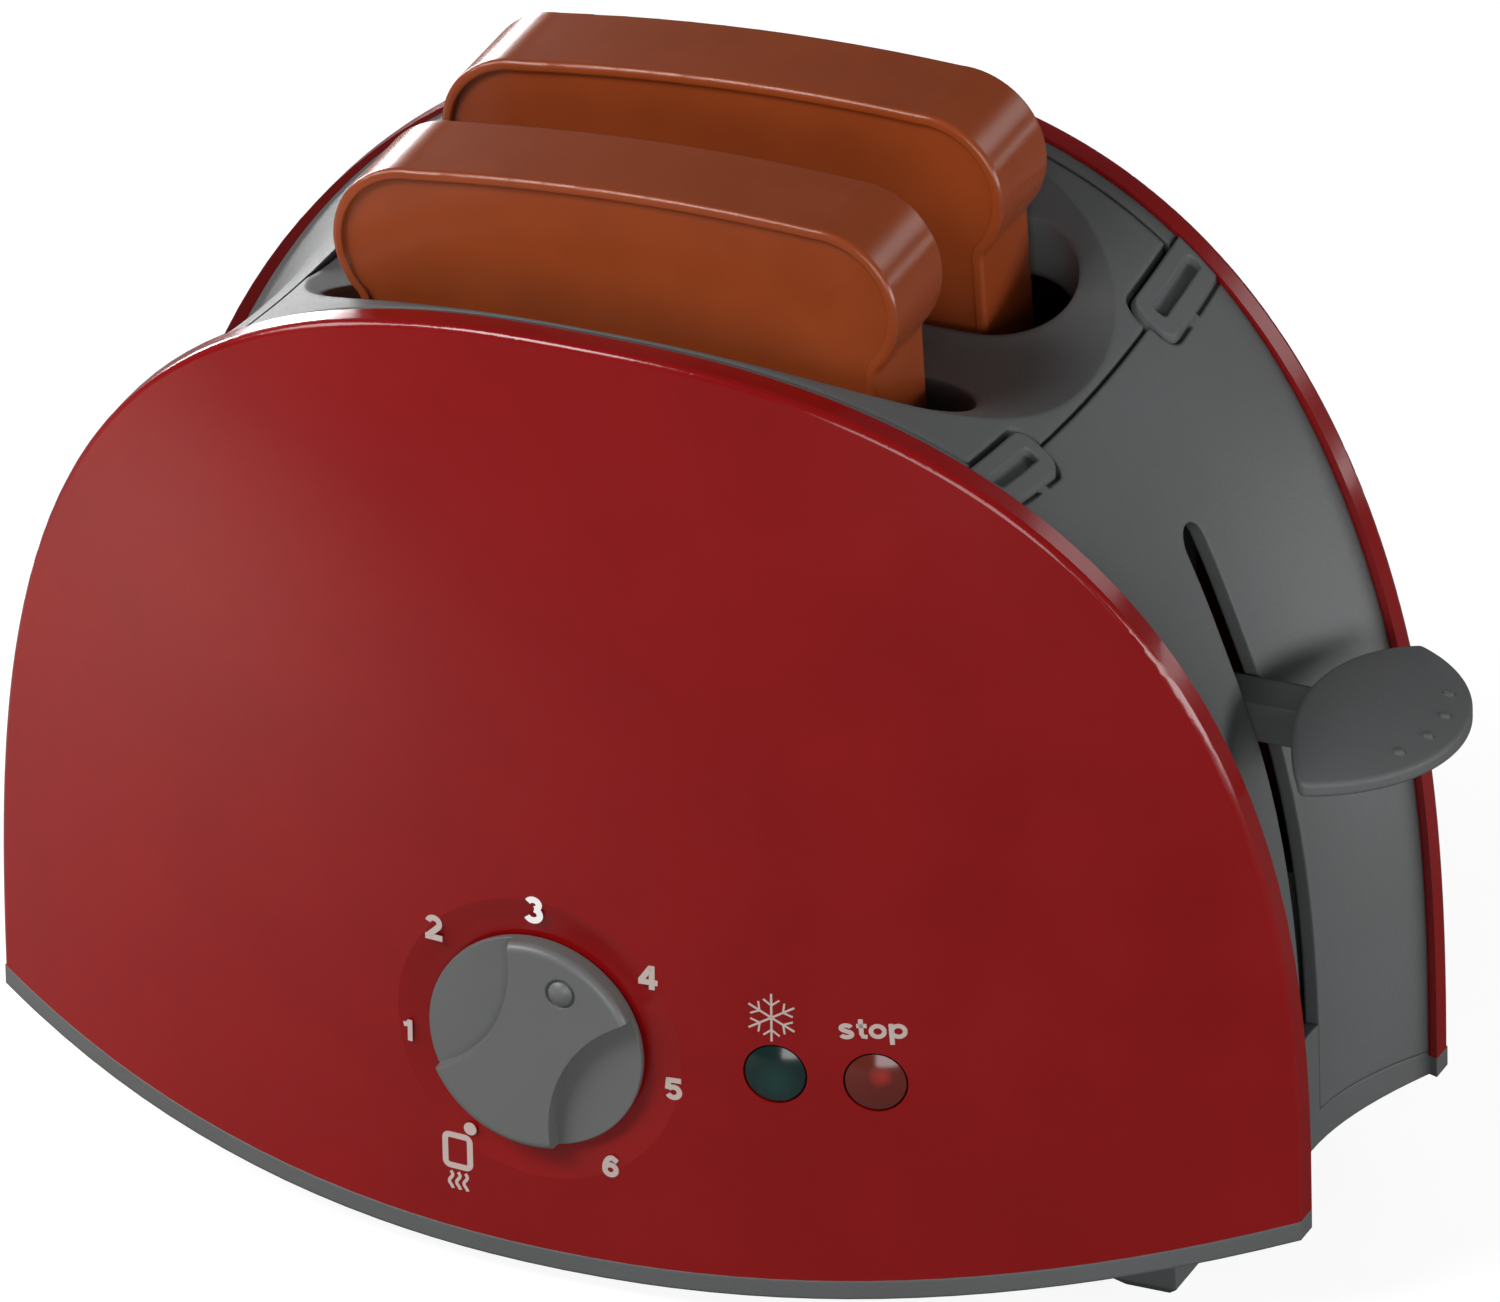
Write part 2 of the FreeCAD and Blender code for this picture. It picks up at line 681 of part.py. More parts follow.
def body_shell():
    """Saddle between the side panels: both ends, and the strips over the top."""
    solid = SADDLE.common(WITHIN_RIMS)
    above = box(-BODY_LENGTH, BODY_LENGTH, -BODY_LENGTH, BODY_LENGTH, BASE_SILL_TOP + SEAM, FAR / 4)
    shell = solid.cut(SADDLE_INSIDE).common(above)
    opening = cover_outline(0.0)
    web = solid.common(above).cut(saddle_block(STRIP_WEB_DEPTH))
    web = web.common(box(
        COVER_LEFT - STRIP_WEB, COVER_RIGHT + STRIP_WEB, -BODY_LENGTH, BODY_LENGTH,
        CORNER_HEIGHT, FAR / 4))
    web = web.cut(between_bows(RIM_DEPTH + SEAM + STRIP_WEB))
    lip = arch_block(END_STEP + LIP_GAP).cut(arch_block(END_STEP + LIP_GAP + LIP_WALL))
    lip = lip.common(between_bows(RIM_DEPTH - LIP_REACH)).cut(between_bows(RIM_DEPTH + LIP_WALL))
    lip = lip.common(above).common(saddle_block(LIP_STEP))
    shell = fuse(shell, web, lip)
    shell = shell.cut(opening)
    for side_y in SIDES:
        moat = lug_plate(side_y, LUG_MOAT).cut(saddle_block(LUG_MOAT)).common(WITHIN_RIMS)
        shell = shell.cut(moat)
        lug = lug_plate(side_y).common(saddle_block(-LUG_RISE)).cut(SADDLE_INSIDE)
        shell = fuse(shell, lug.common(WITHIN_RIMS))
        shell = shell.cut(lug_recess(side_y))
    shell = fuse(shell, *shell_bosses())
    shell = shell.cut(opening.cut(saddle_block(COVER_WALL + COVER_GAP)))
    return cut_shell_holes(shell)


def lug_recess(side_y):
    """The long pocket in a lug."""
    y0 = LUG_INNER + LUG_RECESS_MARGIN
    half = LUG_RECESS_WIDTH / 2
    plate = rounded_plate(
        LUG_CENTRE - half, LUG_CENTRE + half, y0, y0 + LUG_RECESS_LENGTH, half * 0.9)
    if side_y < 0:
        plate = mirrored(plate)
    return plate.cut(saddle_block(LUG_RECESS_DEPTH - LUG_RISE))


def shell_bosses():
    """Posts, ears and rod sockets on the inside of the shell."""
    solid = SADDLE.common(WITHIN_RIMS)
    parts = []
    for side_x in SIDES:
        for side_y in SIDES:
            x = side_x * BASE_SCREW_X
            y = side_y * BASE_SCREW_Y
            height = BASE_POST_TOP - BASE_POST_FOOT
            post = Part.makeCylinder(BOSS_RADIUS, height, Vector(x, y, BASE_POST_FOOT))
            rib = box(
                min(x, x + side_x * 20), max(x, x + side_x * 20), y - 1.2, y + 1.2,
                BASE_POST_FOOT, BASE_POST_TOP)
            parts.append(fuse(post, rib).common(solid))
            low = low_ear(side_x, side_y)
            reach = low.x + side_x * 20
            ear = box(
                min(low.x - side_x * 5, reach), max(low.x - side_x * 5, reach),
                min(low.y, low.y + side_y * EAR_WALL), max(low.y, low.y + side_y * EAR_WALL),
                low.z - 6, low.z + 6)
            parts.append(ear.common(solid))
            high = high_ear(side_x, side_y)
            ear = box(
                high.x - 5, high.x + 5,
                min(high.y, high.y + side_y * EAR_WALL), max(high.y, high.y + side_y * EAR_WALL),
                high.z - 5, high.z + 30)
            parts.append(ear.common(solid))
        tongue_end = side_x * (COVER_SCREW_X - COVER_EAR_HALF)
        root = side_x * (ROD_X + ROD_BOSS)
        tongue = box(
            min(tongue_end, root), max(tongue_end, root), -COVER_EAR_HALF, COVER_EAR_HALF,
            COVER_EAR_TOP - EAR_WALL, COVER_EAR_TOP)
        collar = box(
            min(side_x * (ROD_X - 1), root), max(side_x * (ROD_X - 1), root),
            -COVER_EAR_HALF, COVER_EAR_HALF, COVER_EAR_TOP - EAR_WALL, FAR / 4)
        parts.append(fuse(tongue, collar).common(solid))
    for x, y in rod_places():
        socket = Part.makeCylinder(ROD_BOSS, BODY_LENGTH, Vector(x, y, ROD_TOP - ROD_SOCKET))
        parts.append(socket.common(solid))
    parts.append(Part.makeCylinder(
        SPRING_PEG, SPRING_PEG_LENGTH + EAR_WALL / 2,
        Vector(SPRING_X, 0, spring_top() - SPRING_PEG_LENGTH)))
    return parts


def cut_shell_holes(shell):
    """Lever slot, screw pilots and rod sockets."""
    half = LEVER_SLOT_WIDTH / 2
    top = LEVER_SLOT_TOP - half
    slot = box(BASE_SCREW_X - BOSS_RADIUS, BODY_LENGTH, -half, half, 0, top)
    upper = box(ROD_X + ROD_BOSS + 1.0, BODY_LENGTH, -half, half, BASE_POST_TOP, top)
    round_end = rod(Vector(ROD_X + ROD_BOSS + 1.0, 0, top), Vector(1, 0, 0), half, BODY_LENGTH)
    shell = shell.cut(slot).cut(upper).cut(round_end)
    for side_x in SIDES:
        for side_y in SIDES:
            seat = Vector(side_x * BASE_SCREW_X, side_y * BASE_SCREW_Y, BASE_POST_FOOT)
            shell = shell.cut(pilot(seat, Vector(0, 0, 1), BASE_SCREW_LENGTH))
            for ear in (low_ear(side_x, side_y), high_ear(side_x, side_y)):
                shell = shell.cut(pilot(ear, Vector(0, side_y, 0), EAR_WALL))
        seat = Vector(side_x * COVER_SCREW_X, 0, COVER_EAR_TOP - EAR_WALL)
        shell = shell.cut(pilot(seat, Vector(0, 0, 1), EAR_WALL))
    for x, y in rod_places():
        bore = Part.makeCylinder(
            ROD_RADIUS + ROD_GAP, ROD_SOCKET + 0.2, Vector(x, y, ROD_TOP - ROD_SOCKET - 0.1))
        shell = shell.cut(bore)
    return shell


def rod_places():
    return [(-ROD_X, 0.0), (ROD_X, -ROD_Y), (ROD_X, ROD_Y)]


# ---------------------------------------------------------------- top cover
def top_cover():
    """Dished crown with the two toast slots."""
    outline = cover_outline(-COVER_GAP)
    crown = SADDLE.common(dish_block(0.0)).common(outline)
    cavity = saddle_block(COVER_WALL).common(dish_block(COVER_WALL))
    low = COVER_WALL + SLOT_LIP
    rim_floor = saddle_block(low).common(dish_block(low))
    for side_y in SIDES:
        cavity = cavity.cut(slot_prism(side_y, SLOT_LIP_WALL).cut(rim_floor))
    for side_x in SIDES:
        boss = Part.makeCylinder(
            BOSS_RADIUS, BODY_LENGTH, Vector(side_x * COVER_SCREW_X, 0, COVER_EAR_TOP))
        cavity = cavity.cut(boss)
    cover = crown.cut(cavity)
    for side_y in SIDES:
        cover = cover.cut(slot_prism(side_y))
    for side_x in SIDES:
        seat = Vector(side_x * COVER_SCREW_X, 0, COVER_EAR_TOP)
        cover = cover.cut(pilot(seat, Vector(0, 0, 1), COVER_SCREW_LENGTH - EAR_WALL))
    return cover


# ---------------------------------------------------------------- base
def base_outline():
    """The body's plan as a tall block: bowed sides, and ends hollowed between the rims."""
    plan = OUTER_ARCH.common(between_bows(0.0))
    between_rims = between_bows(RIM_DEPTH)
    for side_x in SIDES:
        end = box(
            min(side_x * BASE_HOLLOW_X, side_x * BODY_LENGTH),
            max(side_x * BASE_HOLLOW_X, side_x * BODY_LENGTH),
            -BODY_LENGTH, BODY_LENGTH, -GROUND_CLEAR, FAR / 4)
        plan = plan.cut(end.common(between_rims).cut(SADDLE))
    return plan


def base_tray():
    outline = base_outline()
    tray = outline.common(smile_block(BASE_WALL)).cut(smile_block(0.0))
    below = box(-BODY_LENGTH, BODY_LENGTH, -BODY_LENGTH, BODY_LENGTH, -GROUND_CLEAR, BASE_SILL_TOP)
    sill = SADDLE.common(between_bows(RIM_DEPTH + SEAM)).cut(SADDLE_INSIDE)
    sill = sill.common(below).common(smile_block(1.0))
    tray = fuse(tray, sill)
    tray = fuse(tray, base_lip(), *base_bosses())
    for side_x in SIDES:
        for side_y in SIDES:
            tray = cut_base_screw(tray, side_x * BASE_SCREW_X, side_y * BASE_SCREW_Y)
    for x, y in rod_places():
        tray = tray.cut(Part.makeCylinder(ROD_RADIUS + ROD_GAP, BODY_LENGTH, Vector(x, y, ROD_FOOT)))
    pin = rod(latch_pin_start(), Vector(1, 0, 0), LATCH_PIN_RADIUS, latch_pin_length())
    return tray.cut(pin)


def base_lip():
    """Upright lip that lies just inside the side panels."""
    outer = INNER_ARCH.common(between_bows(BASE_LIP_INSET))
    inner = between_bows(BASE_LIP_INSET + BASE_LIP_WALL)
    lip = outer.cut(inner)
    middle = box(-FOOT_X, FOOT_X, -BODY_LENGTH, BODY_LENGTH, -GROUND_CLEAR, FAR / 4)
    lip = lip.common(smile_block(1.0)).cut(smile_block(-BASE_LIP_HEIGHT)).common(middle)
    for side_x in SIDES:
        gap = box(
            side_x * LOW_EAR_X - 6, side_x * LOW_EAR_X + 6, -BODY_LENGTH, BODY_LENGTH, 0, FAR / 4)
        lip = lip.cut(gap)
    return lip


def base_bosses():
    """Feet, screw pads, rod sockets, the slot's tongue and the latch ears."""
    parts = []
    for side_x in SIDES:
        for side_y in SIDES:
            x = side_x * FOOT_X
            y = side_y * FOOT_Y
            foot = box(
                x - FOOT_LENGTH / 2, x + FOOT_LENGTH / 2, y - FOOT_WIDTH / 2, y + FOOT_WIDTH / 2,
                0, smile_z(x, BASE_WALL / 2))
            bottom = [edge for edge in foot.Edges if edge.BoundBox.ZMax < 0.01]
            parts.append(foot.makeChamfer(FOOT_CHAMFER, bottom))
            x = side_x * BASE_SCREW_X
            y = side_y * BASE_SCREW_Y
            low = smile_z(x, BASE_WALL / 2)
            pad = Part.makeCylinder(
                BOSS_RADIUS + 1.0, BASE_POST_FOOT - low, Vector(x, y, low))
            parts.append(pad.common(SADDLE_INSIDE))
    for x, y in rod_places():
        low = smile_z(x, BASE_WALL / 2)
        parts.append(Part.makeCylinder(ROD_BOSS, ROD_BOSS_TOP - low, Vector(x, y, low)))
    half = LEVER_SLOT_WIDTH / 2 - LEVER_TONGUE_GAP
    tongue = box(0, BODY_LENGTH, -half, half, smile_z(HALF_LENGTH, BASE_WALL / 2), LEVER_SLOT_FOOT)
    parts.append(tongue.common(SADDLE).cut(SADDLE_INSIDE))
    for x in latch_ear_places():
        y = -LATCH_Y
        low = smile_z(x, BASE_WALL / 2)
        ear = box(
            x, x + LATCH_EAR_WALL, y - LATCH_EAR_WIDTH / 2, y + LATCH_EAR_WIDTH / 2, low, LATCH_Z)
        crown = rod(Vector(x, y, LATCH_Z), Vector(1, 0, 0), LATCH_EAR_WIDTH / 2, LATCH_EAR_WALL)
        parts.append(fuse(ear, crown))
    return parts


def cut_base_screw(tray, x, y):
    seat_z = base_screw_seat_z()
    hole = Part.makeCylinder(SCREW_SHANK + PILOT_GAP, BODY_LENGTH, Vector(x, y, -GROUND_CLEAR))
    recess = Part.makeCylinder(
        SCREW_HEAD + 0.3, seat_z + GROUND_CLEAR, Vector(x, y, -GROUND_CLEAR))
    return tray.cut(hole).cut(recess)


def base_screw_seat_z():
    return smile_z(BASE_SCREW_X) + 1.5


# ---------------------------------------------------------------- lever, carriage, rods
def lever_box(x0, x1, grow=0.0):
    """The lever arm's bar, whose top slants down to the front."""
    half = LEVER_WIDTH / 2 + grow
    low = LEVER_TOP - LEVER_HEIGHT - grow
    high = LEVER_TOP + grow
    corners = [
        Vector(x0, -half, low), Vector(x0, half, low), Vector(x0, half, high),
        Vector(x0, -half, high - LEVER_SLANT), Vector(x0, -half, low),
    ]
    return Part.Face(Part.makePolygon(corners)).extrude(Vector(x1 - x0, 0, 0))


def carriage():
    """Slider on two rods, two toast trays, the far bridge and the lever arm."""
    slider_x0 = ROD_X - SLIDER_LENGTH / 2
    slider = box(
        slider_x0, slider_x0 + SLIDER_LENGTH, -SLIDER_WIDTH / 2, SLIDER_WIDTH / 2,
        SLIDER_BOTTOM, SLIDER_TOP)
    well = box(
        slider_x0 - 1, SPRING_X + SPRING_WELL, -SPRING_WELL, SPRING_WELL,
        spring_foot(), SLIDER_TOP + 1)
    slider = slider.cut(well)
    peg = Part.makeCylinder(SPRING_PEG, SPRING_PEG_LENGTH, Vector(SPRING_X, 0, spring_foot() - 1))
    parts = []
    for side_y in SIDES:
        middle = side_y * SLOT_PITCH / 2
        half = TRAY_WIDTH / 2
        tray = box(
            -TRAY_END, slider_x0 + 1, middle - half, middle + half,
            SLIDER_BOTTOM, SLIDER_BOTTOM + TRAY_WALL + TRAY_LIP_HEIGHT)
        hollow = box(
            -TRAY_END + TRAY_LIP, slider_x0 - TRAY_LIP, middle - half + TRAY_LIP,
            middle + half - TRAY_LIP, SLIDER_BOTTOM + TRAY_WALL, SLIDER_TOP)
        parts.append(tray.cut(hollow))
    bridge = box(
        -ROD_X - ROD_BOSS, -TRAY_END + TRAY_LIP, -BRIDGE_WIDTH / 2, BRIDGE_WIDTH / 2,
        SLIDER_BOTTOM, SLIDER_BOTTOM + BRIDGE_HEIGHT)
    cross = box(
        -TRAY_END - 4, -TRAY_END + TRAY_LIP, -SLOT_PITCH / 2, SLOT_PITCH / 2,
        SLIDER_BOTTOM, SLIDER_BOTTOM + TRAY_WALL + TRAY_LIP_HEIGHT)
    arm = lever_box(SPRING_X + SPRING_WELL + 1.0, LEVER_REACH)
    frame = fuse(slider, peg, bridge, cross, arm, *parts)
    for x, y in rod_places():
        frame = frame.cut(Part.makeCylinder(ROD_RADIUS + ROD_GAP, BODY_LENGTH, Vector(x, y, 0)))
    return frame


def spring_foot():
    return SLIDER_BOTTOM + TRAY_WALL


def spring_top():
    return COVER_EAR_TOP - EAR_WALL


def guide_rod(x, y):
    gap = 0.1
    return Part.makeCylinder(ROD_RADIUS, ROD_TOP - ROD_FOOT - gap, Vector(x, y, ROD_FOOT + gap / 2))


def guide_rod_left():
    x, y = rod_places()[0]
    return guide_rod(x, y)


def guide_rods_right():
    return Part.makeCompound([guide_rod(x, y) for x, y in rod_places()[1:]])


def lift_spring():
    start = Vector(SPRING_X, 0, spring_foot() + SPRING_WIRE)
    length = spring_top() - spring_foot() - 2 * SPRING_WIRE
    return coil(start, Vector(0, 0, 1), SPRING_RADIUS, SPRING_WIRE, SPRING_TURNS, length)


def lever_paddle():
    """Leaf-shaped domed plate with a socket under it for the end of the arm."""
    centre = Vector(PADDLE_DOME_X, 0, PADDLE_DOME_TOP - PADDLE_DOME_RADIUS)
    low = LEVER_TOP - LEVER_HEIGHT
    tip_a = Vector(PADDLE_TIP_X, -PADDLE_HALF_SPAN, low)
    tip_b = Vector(PADDLE_TIP_X, PADDLE_HALF_SPAN, low)
    outer = Part.Arc(tip_a, Vector(PADDLE_OUTER_X, 0, low), tip_b).toShape()
    inner = Part.Arc(tip_b, Vector(PADDLE_INNER_X, 0, low), tip_a).toShape()
    plate = Part.Face(Part.Wire([outer, inner])).extrude(Vector(0, 0, 2 * LEVER_HEIGHT))
    upright = [edge for edge in plate.Edges if edge.BoundBox.ZLength > LEVER_HEIGHT]
    plate = plate.makeFillet(PADDLE_TIP_ROUND, upright)
    plate = plate.common(dome_ball(centre, 0.0))
    brim = [edge for edge in plate.Edges if edge.BoundBox.ZMin > low + PADDLE_WALL]
    plate = plate.makeFillet(PADDLE_ROUND, brim)
    plate = plate.cut(dome_ball(centre, PADDLE_WALL))
    for x, y in bump_places():
        flat = math.hypot(x - centre.x, y)
        z = centre.z + math.sqrt(PADDLE_DOME_RADIUS ** 2 - flat ** 2)
        start = Vector(x, y, z - 1.0)
        lower = Part.makeCylinder(BUMP_RADIUS, 1.0 + BUMP_RISE * 0.3, start)
        middle = Part.makeCone(
            BUMP_RADIUS, BUMP_RADIUS * 0.75, BUMP_RISE * 0.4, Vector(x, y, z + BUMP_RISE * 0.3))
        upper = Part.makeCone(
            BUMP_RADIUS * 0.75, BUMP_RADIUS * 0.35, BUMP_RISE * 0.3,
            Vector(x, y, z + BUMP_RISE * 0.7))
        plate = plate.fuse(lower).fuse(middle).fuse(upper)
    start_x = PADDLE_INNER_X + PADDLE_SOCKET_INSET
    socket = lever_box(start_x, LEVER_REACH + PADDLE_SOCKET_WALL, PADDLE_SOCKET_WALL)
    paddle = fuse(plate, socket.common(dome_ball(centre, PADDLE_WALL / 2)))
    return paddle.cut(lever_box(PADDLE_INNER_X - 5.0, LEVER_REACH + PADDLE_FIT, PADDLE_FIT))


def dome_ball(centre, inset):
    """Ball of the paddle's dome, its seam turned away from the paddle."""
    ball = Part.makeSphere(PADDLE_DOME_RADIUS - inset, centre)
    ball.rotate(centre, Vector(0, 0, 1), 180)
    return ball


def bump_places():
    """Centres of the four small bumps near the paddle's outer edge."""
    places = []
    for count in range(BUMP_COUNT):
        angle = math.radians(BUMP_STEP * (count - (BUMP_COUNT - 1) / 2))
        places.append((
            outer_arc_centre() + BUMP_RING * math.cos(angle), BUMP_RING * math.sin(angle)))
    return places


def outer_arc_centre():
    """Centre of the paddle's outer edge along X."""
    depth = PADDLE_OUTER_X - PADDLE_TIP_X
    radius = (depth ** 2 + PADDLE_HALF_SPAN ** 2) / (2 * depth)
    return PADDLE_OUTER_X - radius


# ---------------------------------------------------------------- toast
def toast_neck():
    """Half width of a slice below its shoulders."""
    turn = math.radians(TOAST_NECK_TURN)
    reach = (TOAST_SHOULDER + TOAST_NECK_ROUND) * math.cos(turn)
    return TOAST_WIDTH / 2 - TOAST_SHOULDER + reach - TOAST_NECK_ROUND


def toast_bottom(lean):
    """Height of an upright slice's bottom that puts its lower corner on the tray once it leans."""
    lean = math.radians(lean)
    floor = SLIDER_BOTTOM + TRAY_WALL + TOAST_SEAT_GAP
    drop = TOAST_TOP - floor - TOAST_CORNER - (toast_neck() - TOAST_CORNER) * math.sin(lean)
    return TOAST_TOP - drop / math.cos(lean) - TOAST_CORNER


def toast_face(inset, y, lean):
    """Outline of a slice: crowned top, round shoulders, neck, straight sides."""
    half = TOAST_WIDTH / 2 - inset
    neck = toast_neck() - inset
    top = TOAST_TOP - inset
    bottom = toast_bottom(lean) + inset
    shoulder = TOAST_SHOULDER - inset
    edge_top = top - TOAST_CROWN
    corner = TOAST_CORNER
    cx = TOAST_CENTRE_X
    turn = math.radians(TOAST_NECK_TURN)
    middle_x = half - shoulder
    middle_z = edge_top - shoulder
    hollow = TOAST_NECK_ROUND + inset
    hollow_x = middle_x + (shoulder + hollow) * math.cos(turn)
    hollow_z = middle_z - (shoulder + hollow) * math.sin(turn)

    def at(x, z):
        return Vector(cx + x, y, z)

    def on_shoulder(angle):
        return at(middle_x + shoulder * math.cos(angle), middle_z + shoulder * math.sin(angle))

    crown = Part.Arc(at(-middle_x, edge_top), at(0, top), at(middle_x, edge_top)).toShape()
    half_turn = math.pi - turn / 2
    lean_in = corner * (1 - math.sin(math.radians(45)))
    right = [
        Part.Arc(at(middle_x, edge_top), on_shoulder(turn / 2), on_shoulder(-turn)).toShape(),
        Part.Arc(
            on_shoulder(-turn),
            at(hollow_x + hollow * math.cos(half_turn), hollow_z + hollow * math.sin(half_turn)),
            at(neck, hollow_z)).toShape(),
        Part.makeLine(at(neck, hollow_z), at(neck, bottom + corner)),
        Part.Arc(
            at(neck, bottom + corner), at(neck - lean_in, bottom + lean_in),
            at(neck - corner, bottom)).toShape(),
    ]
    left = [edge.mirror(at(0, 0), Vector(1, 0, 0)) for edge in right]
    floor = Part.makeLine(at(neck - corner, bottom), at(-neck + corner, bottom))
    return Part.Face(Part.Wire(Part.sortEdges([crown] + right + [floor] + left)[0]))


def toast(side_y, lean):
    """Hollow slice with a raised bead round both faces, standing a little askew."""
    middle = side_y * SLOT_PITCH / 2
    half = TOAST_THICKNESS / 2
    slice_ = toast_face(0.0, middle - half, lean).extrude(Vector(0, TOAST_THICKNESS, 0))
    rims = [edge for edge in slice_.Edges if edge.BoundBox.YLength < 0.01]
    slice_ = slice_.makeFillet(TOAST_ROUND, rims)
    for out in SIDES:
        pocket = toast_face(TOAST_BEAD, middle + out * half, lean)
        slice_ = slice_.cut(pocket.extrude(Vector(0, -out * TOAST_RECESS, 0)))
    depth = half - TOAST_RECESS - TOAST_WALL
    reach = toast_neck() - TOAST_WALL
    bottom = toast_bottom(lean)
    hollow = box(
        TOAST_CENTRE_X - reach, TOAST_CENTRE_X + reach, middle - depth, middle + depth,
        bottom - 1, TOAST_TOP - TOAST_SHOULDER / 2)
    slice_ = slice_.cut(hollow)
    slice_.rotate(Vector(TOAST_CENTRE_X, middle, TOAST_TOP), Vector(0, 1, 0), -lean)
    return slice_


# ---------------------------------------------------------------- knob and its click
def knob():
    """Round knob with an hourglass grip, a pointer dome and its shaft."""
    inward = Vector(0, 1, 0)
    back = SEAT_Y - KNOB_CLEARANCE
    face = -face_y(KNOB_X, KNOB_Z) - KNOB_PROUD
    height = back - face
    disc = rod(Vector(KNOB_X, back, KNOB_Z), inward * -1, KNOB_RADIUS, height)
    front = [edge for edge in disc.Edges if abs(edge.BoundBox.YMax - face) < 0.01]
    disc = disc.makeFillet(KNOB_ROUND, front)
    pointer = math.radians(KNOB_POINTER)
    for side in SIDES:
        angle = pointer + side * math.pi / 2
        centre = Vector(
            KNOB_X + SCOOP_CENTRE * math.sin(angle), face - 1.0,
            KNOB_Z + SCOOP_CENTRE * math.cos(angle))
        disc = disc.cut(rod(centre, inward, SCOOP_RADIUS, SCOOP_DEPTH + 1.0))
    x = KNOB_X + POINTER_RING * math.sin(pointer)
    z = KNOB_Z + POINTER_RING * math.cos(pointer)
    ball_radius = (POINTER_RADIUS ** 2 + POINTER_RISE ** 2) / (2 * POINTER_RISE)
    dome = Part.makeSphere(ball_radius, Vector(x, face + ball_radius - POINTER_RISE, z))
    dome = dome.common(rod(Vector(x, face + 0.5, z), inward * -1, POINTER_RADIUS, 3.0))
    groove = rod(Vector(x, face - 1.0, z), inward, POINTER_RADIUS + POINTER_GROOVE, 1.0 + POINTER_GROOVE)
    disc = disc.cut(groove.cut(rod(Vector(x, face - 2.0, z), inward, POINTER_RADIUS, 4.0)))
    shaft = rod(Vector(KNOB_X, back - 0.1, KNOB_Z), inward, SHAFT_RADIUS, SHAFT_END)
    shaft_end = back - 0.1 + SHAFT_END
    disc = fuse(disc, dome, shaft)
    flat = box(
        KNOB_X - 10, KNOB_X + 10, wheel_front(), shaft_end + 1, KNOB_Z + SHAFT_RADIUS * 0.6,
        KNOB_Z + 10)
    disc = disc.cut(flat)
    return disc.cut(pilot(knob_screw_seat(), inward * -1, KNOB_SCREW_LENGTH))


def wheel_front():
    return SEAT_Y + SEAT_WALL + 2.0 + WHEEL_GAP


def wheel_back():
    return wheel_front() + WHEEL_THICKNESS


def knob_screw_seat():
    shaft_end = SEAT_Y - KNOB_CLEARANCE - 0.1 + SHAFT_END
    return Vector(KNOB_X, max(shaft_end, wheel_back()), KNOB_Z)


def click_wheel():
    """Notched wheel on the shaft's flatted end, with the tab that ends its turn."""
    inward = Vector(0, 1, 0)
    start = Vector(KNOB_X, wheel_front(), KNOB_Z)
    length = knob_screw_seat().y - start.y
    wheel = rod(start, inward, WHEEL_RADIUS, WHEEL_THICKNESS)
    wheel = wheel.fuse(rod(start, inward, SHAFT_RADIUS + 1.6, length))
    pointer = math.radians(KNOB_POINTER)
    tab = box(
        KNOB_X - 1.5, KNOB_X + 1.5, wheel_front(), wheel_front() + WHEEL_TAB_WALL, KNOB_Z,
        KNOB_Z + WHEEL_RADIUS + WHEEL_TAB)
    tab.rotate(Vector(KNOB_X, 0, KNOB_Z), inward, KNOB_POINTER)
    wheel = fuse(wheel, tab)
    first = pointer + math.radians(-90 - WHEEL_PITCH * (WHEEL_MARKS - 1) / 2)
    for mark in range(WHEEL_MARKS):
        angle = first + math.radians(WHEEL_PITCH * mark)
        x = KNOB_X + WHEEL_RADIUS * math.sin(angle)
        z = KNOB_Z + WHEEL_RADIUS * math.cos(angle)
        wheel = wheel.cut(rod(Vector(x, wheel_front() - 1, z), inward, WHEEL_NOTCH, 20))
    bore = rod(Vector(KNOB_X, wheel_front() - 1, KNOB_Z), inward, SHAFT_RADIUS + PILOT_GAP, 20)
    flat = box(
        KNOB_X - 10, KNOB_X + 10, wheel_front() - 1, wheel_front() + 20,
        KNOB_Z + SHAFT_RADIUS * 0.6 + PILOT_GAP, KNOB_Z + 10)
    return wheel.cut(bore.cut(flat))


def knob_screw():
    return screw(knob_screw_seat(), Vector(0, -1, 0), KNOB_SCREW_LENGTH)


def click_spring():
    """Leaf on a post beside the wheel, its round nose just off the wheel's edge."""
    seat = click_screw_seat()
    back = seat.y
    front = back - CLICK_LEAF
    nose_x = KNOB_X - WHEEL_RADIUS - CLICK_GAP - CLICK_NOSE_RADIUS
    pad = rod(Vector(seat.x, front, seat.z), Vector(0, 1, 0), CLICK_POST_RADIUS, CLICK_LEAF)
    half = CLICK_WIDTH / 2
    strip = box(
        seat.x, nose_x + CLICK_NOSE_RADIUS, front, back, KNOB_Z - half, KNOB_Z + half)
    nose = rod(
        Vector(nose_x, front - CLICK_NOSE_LENGTH, KNOB_Z), Vector(0, 1, 0), CLICK_NOSE_RADIUS,
        CLICK_NOSE_LENGTH + CLICK_LEAF)
    leaf = fuse(pad, strip, nose)
    return leaf.cut(pilot(seat, Vector(0, -1, 0), 2.0))


def click_screw():
    return screw(click_screw_seat(), Vector(0, -1, 0), CLICK_SCREW_LENGTH)


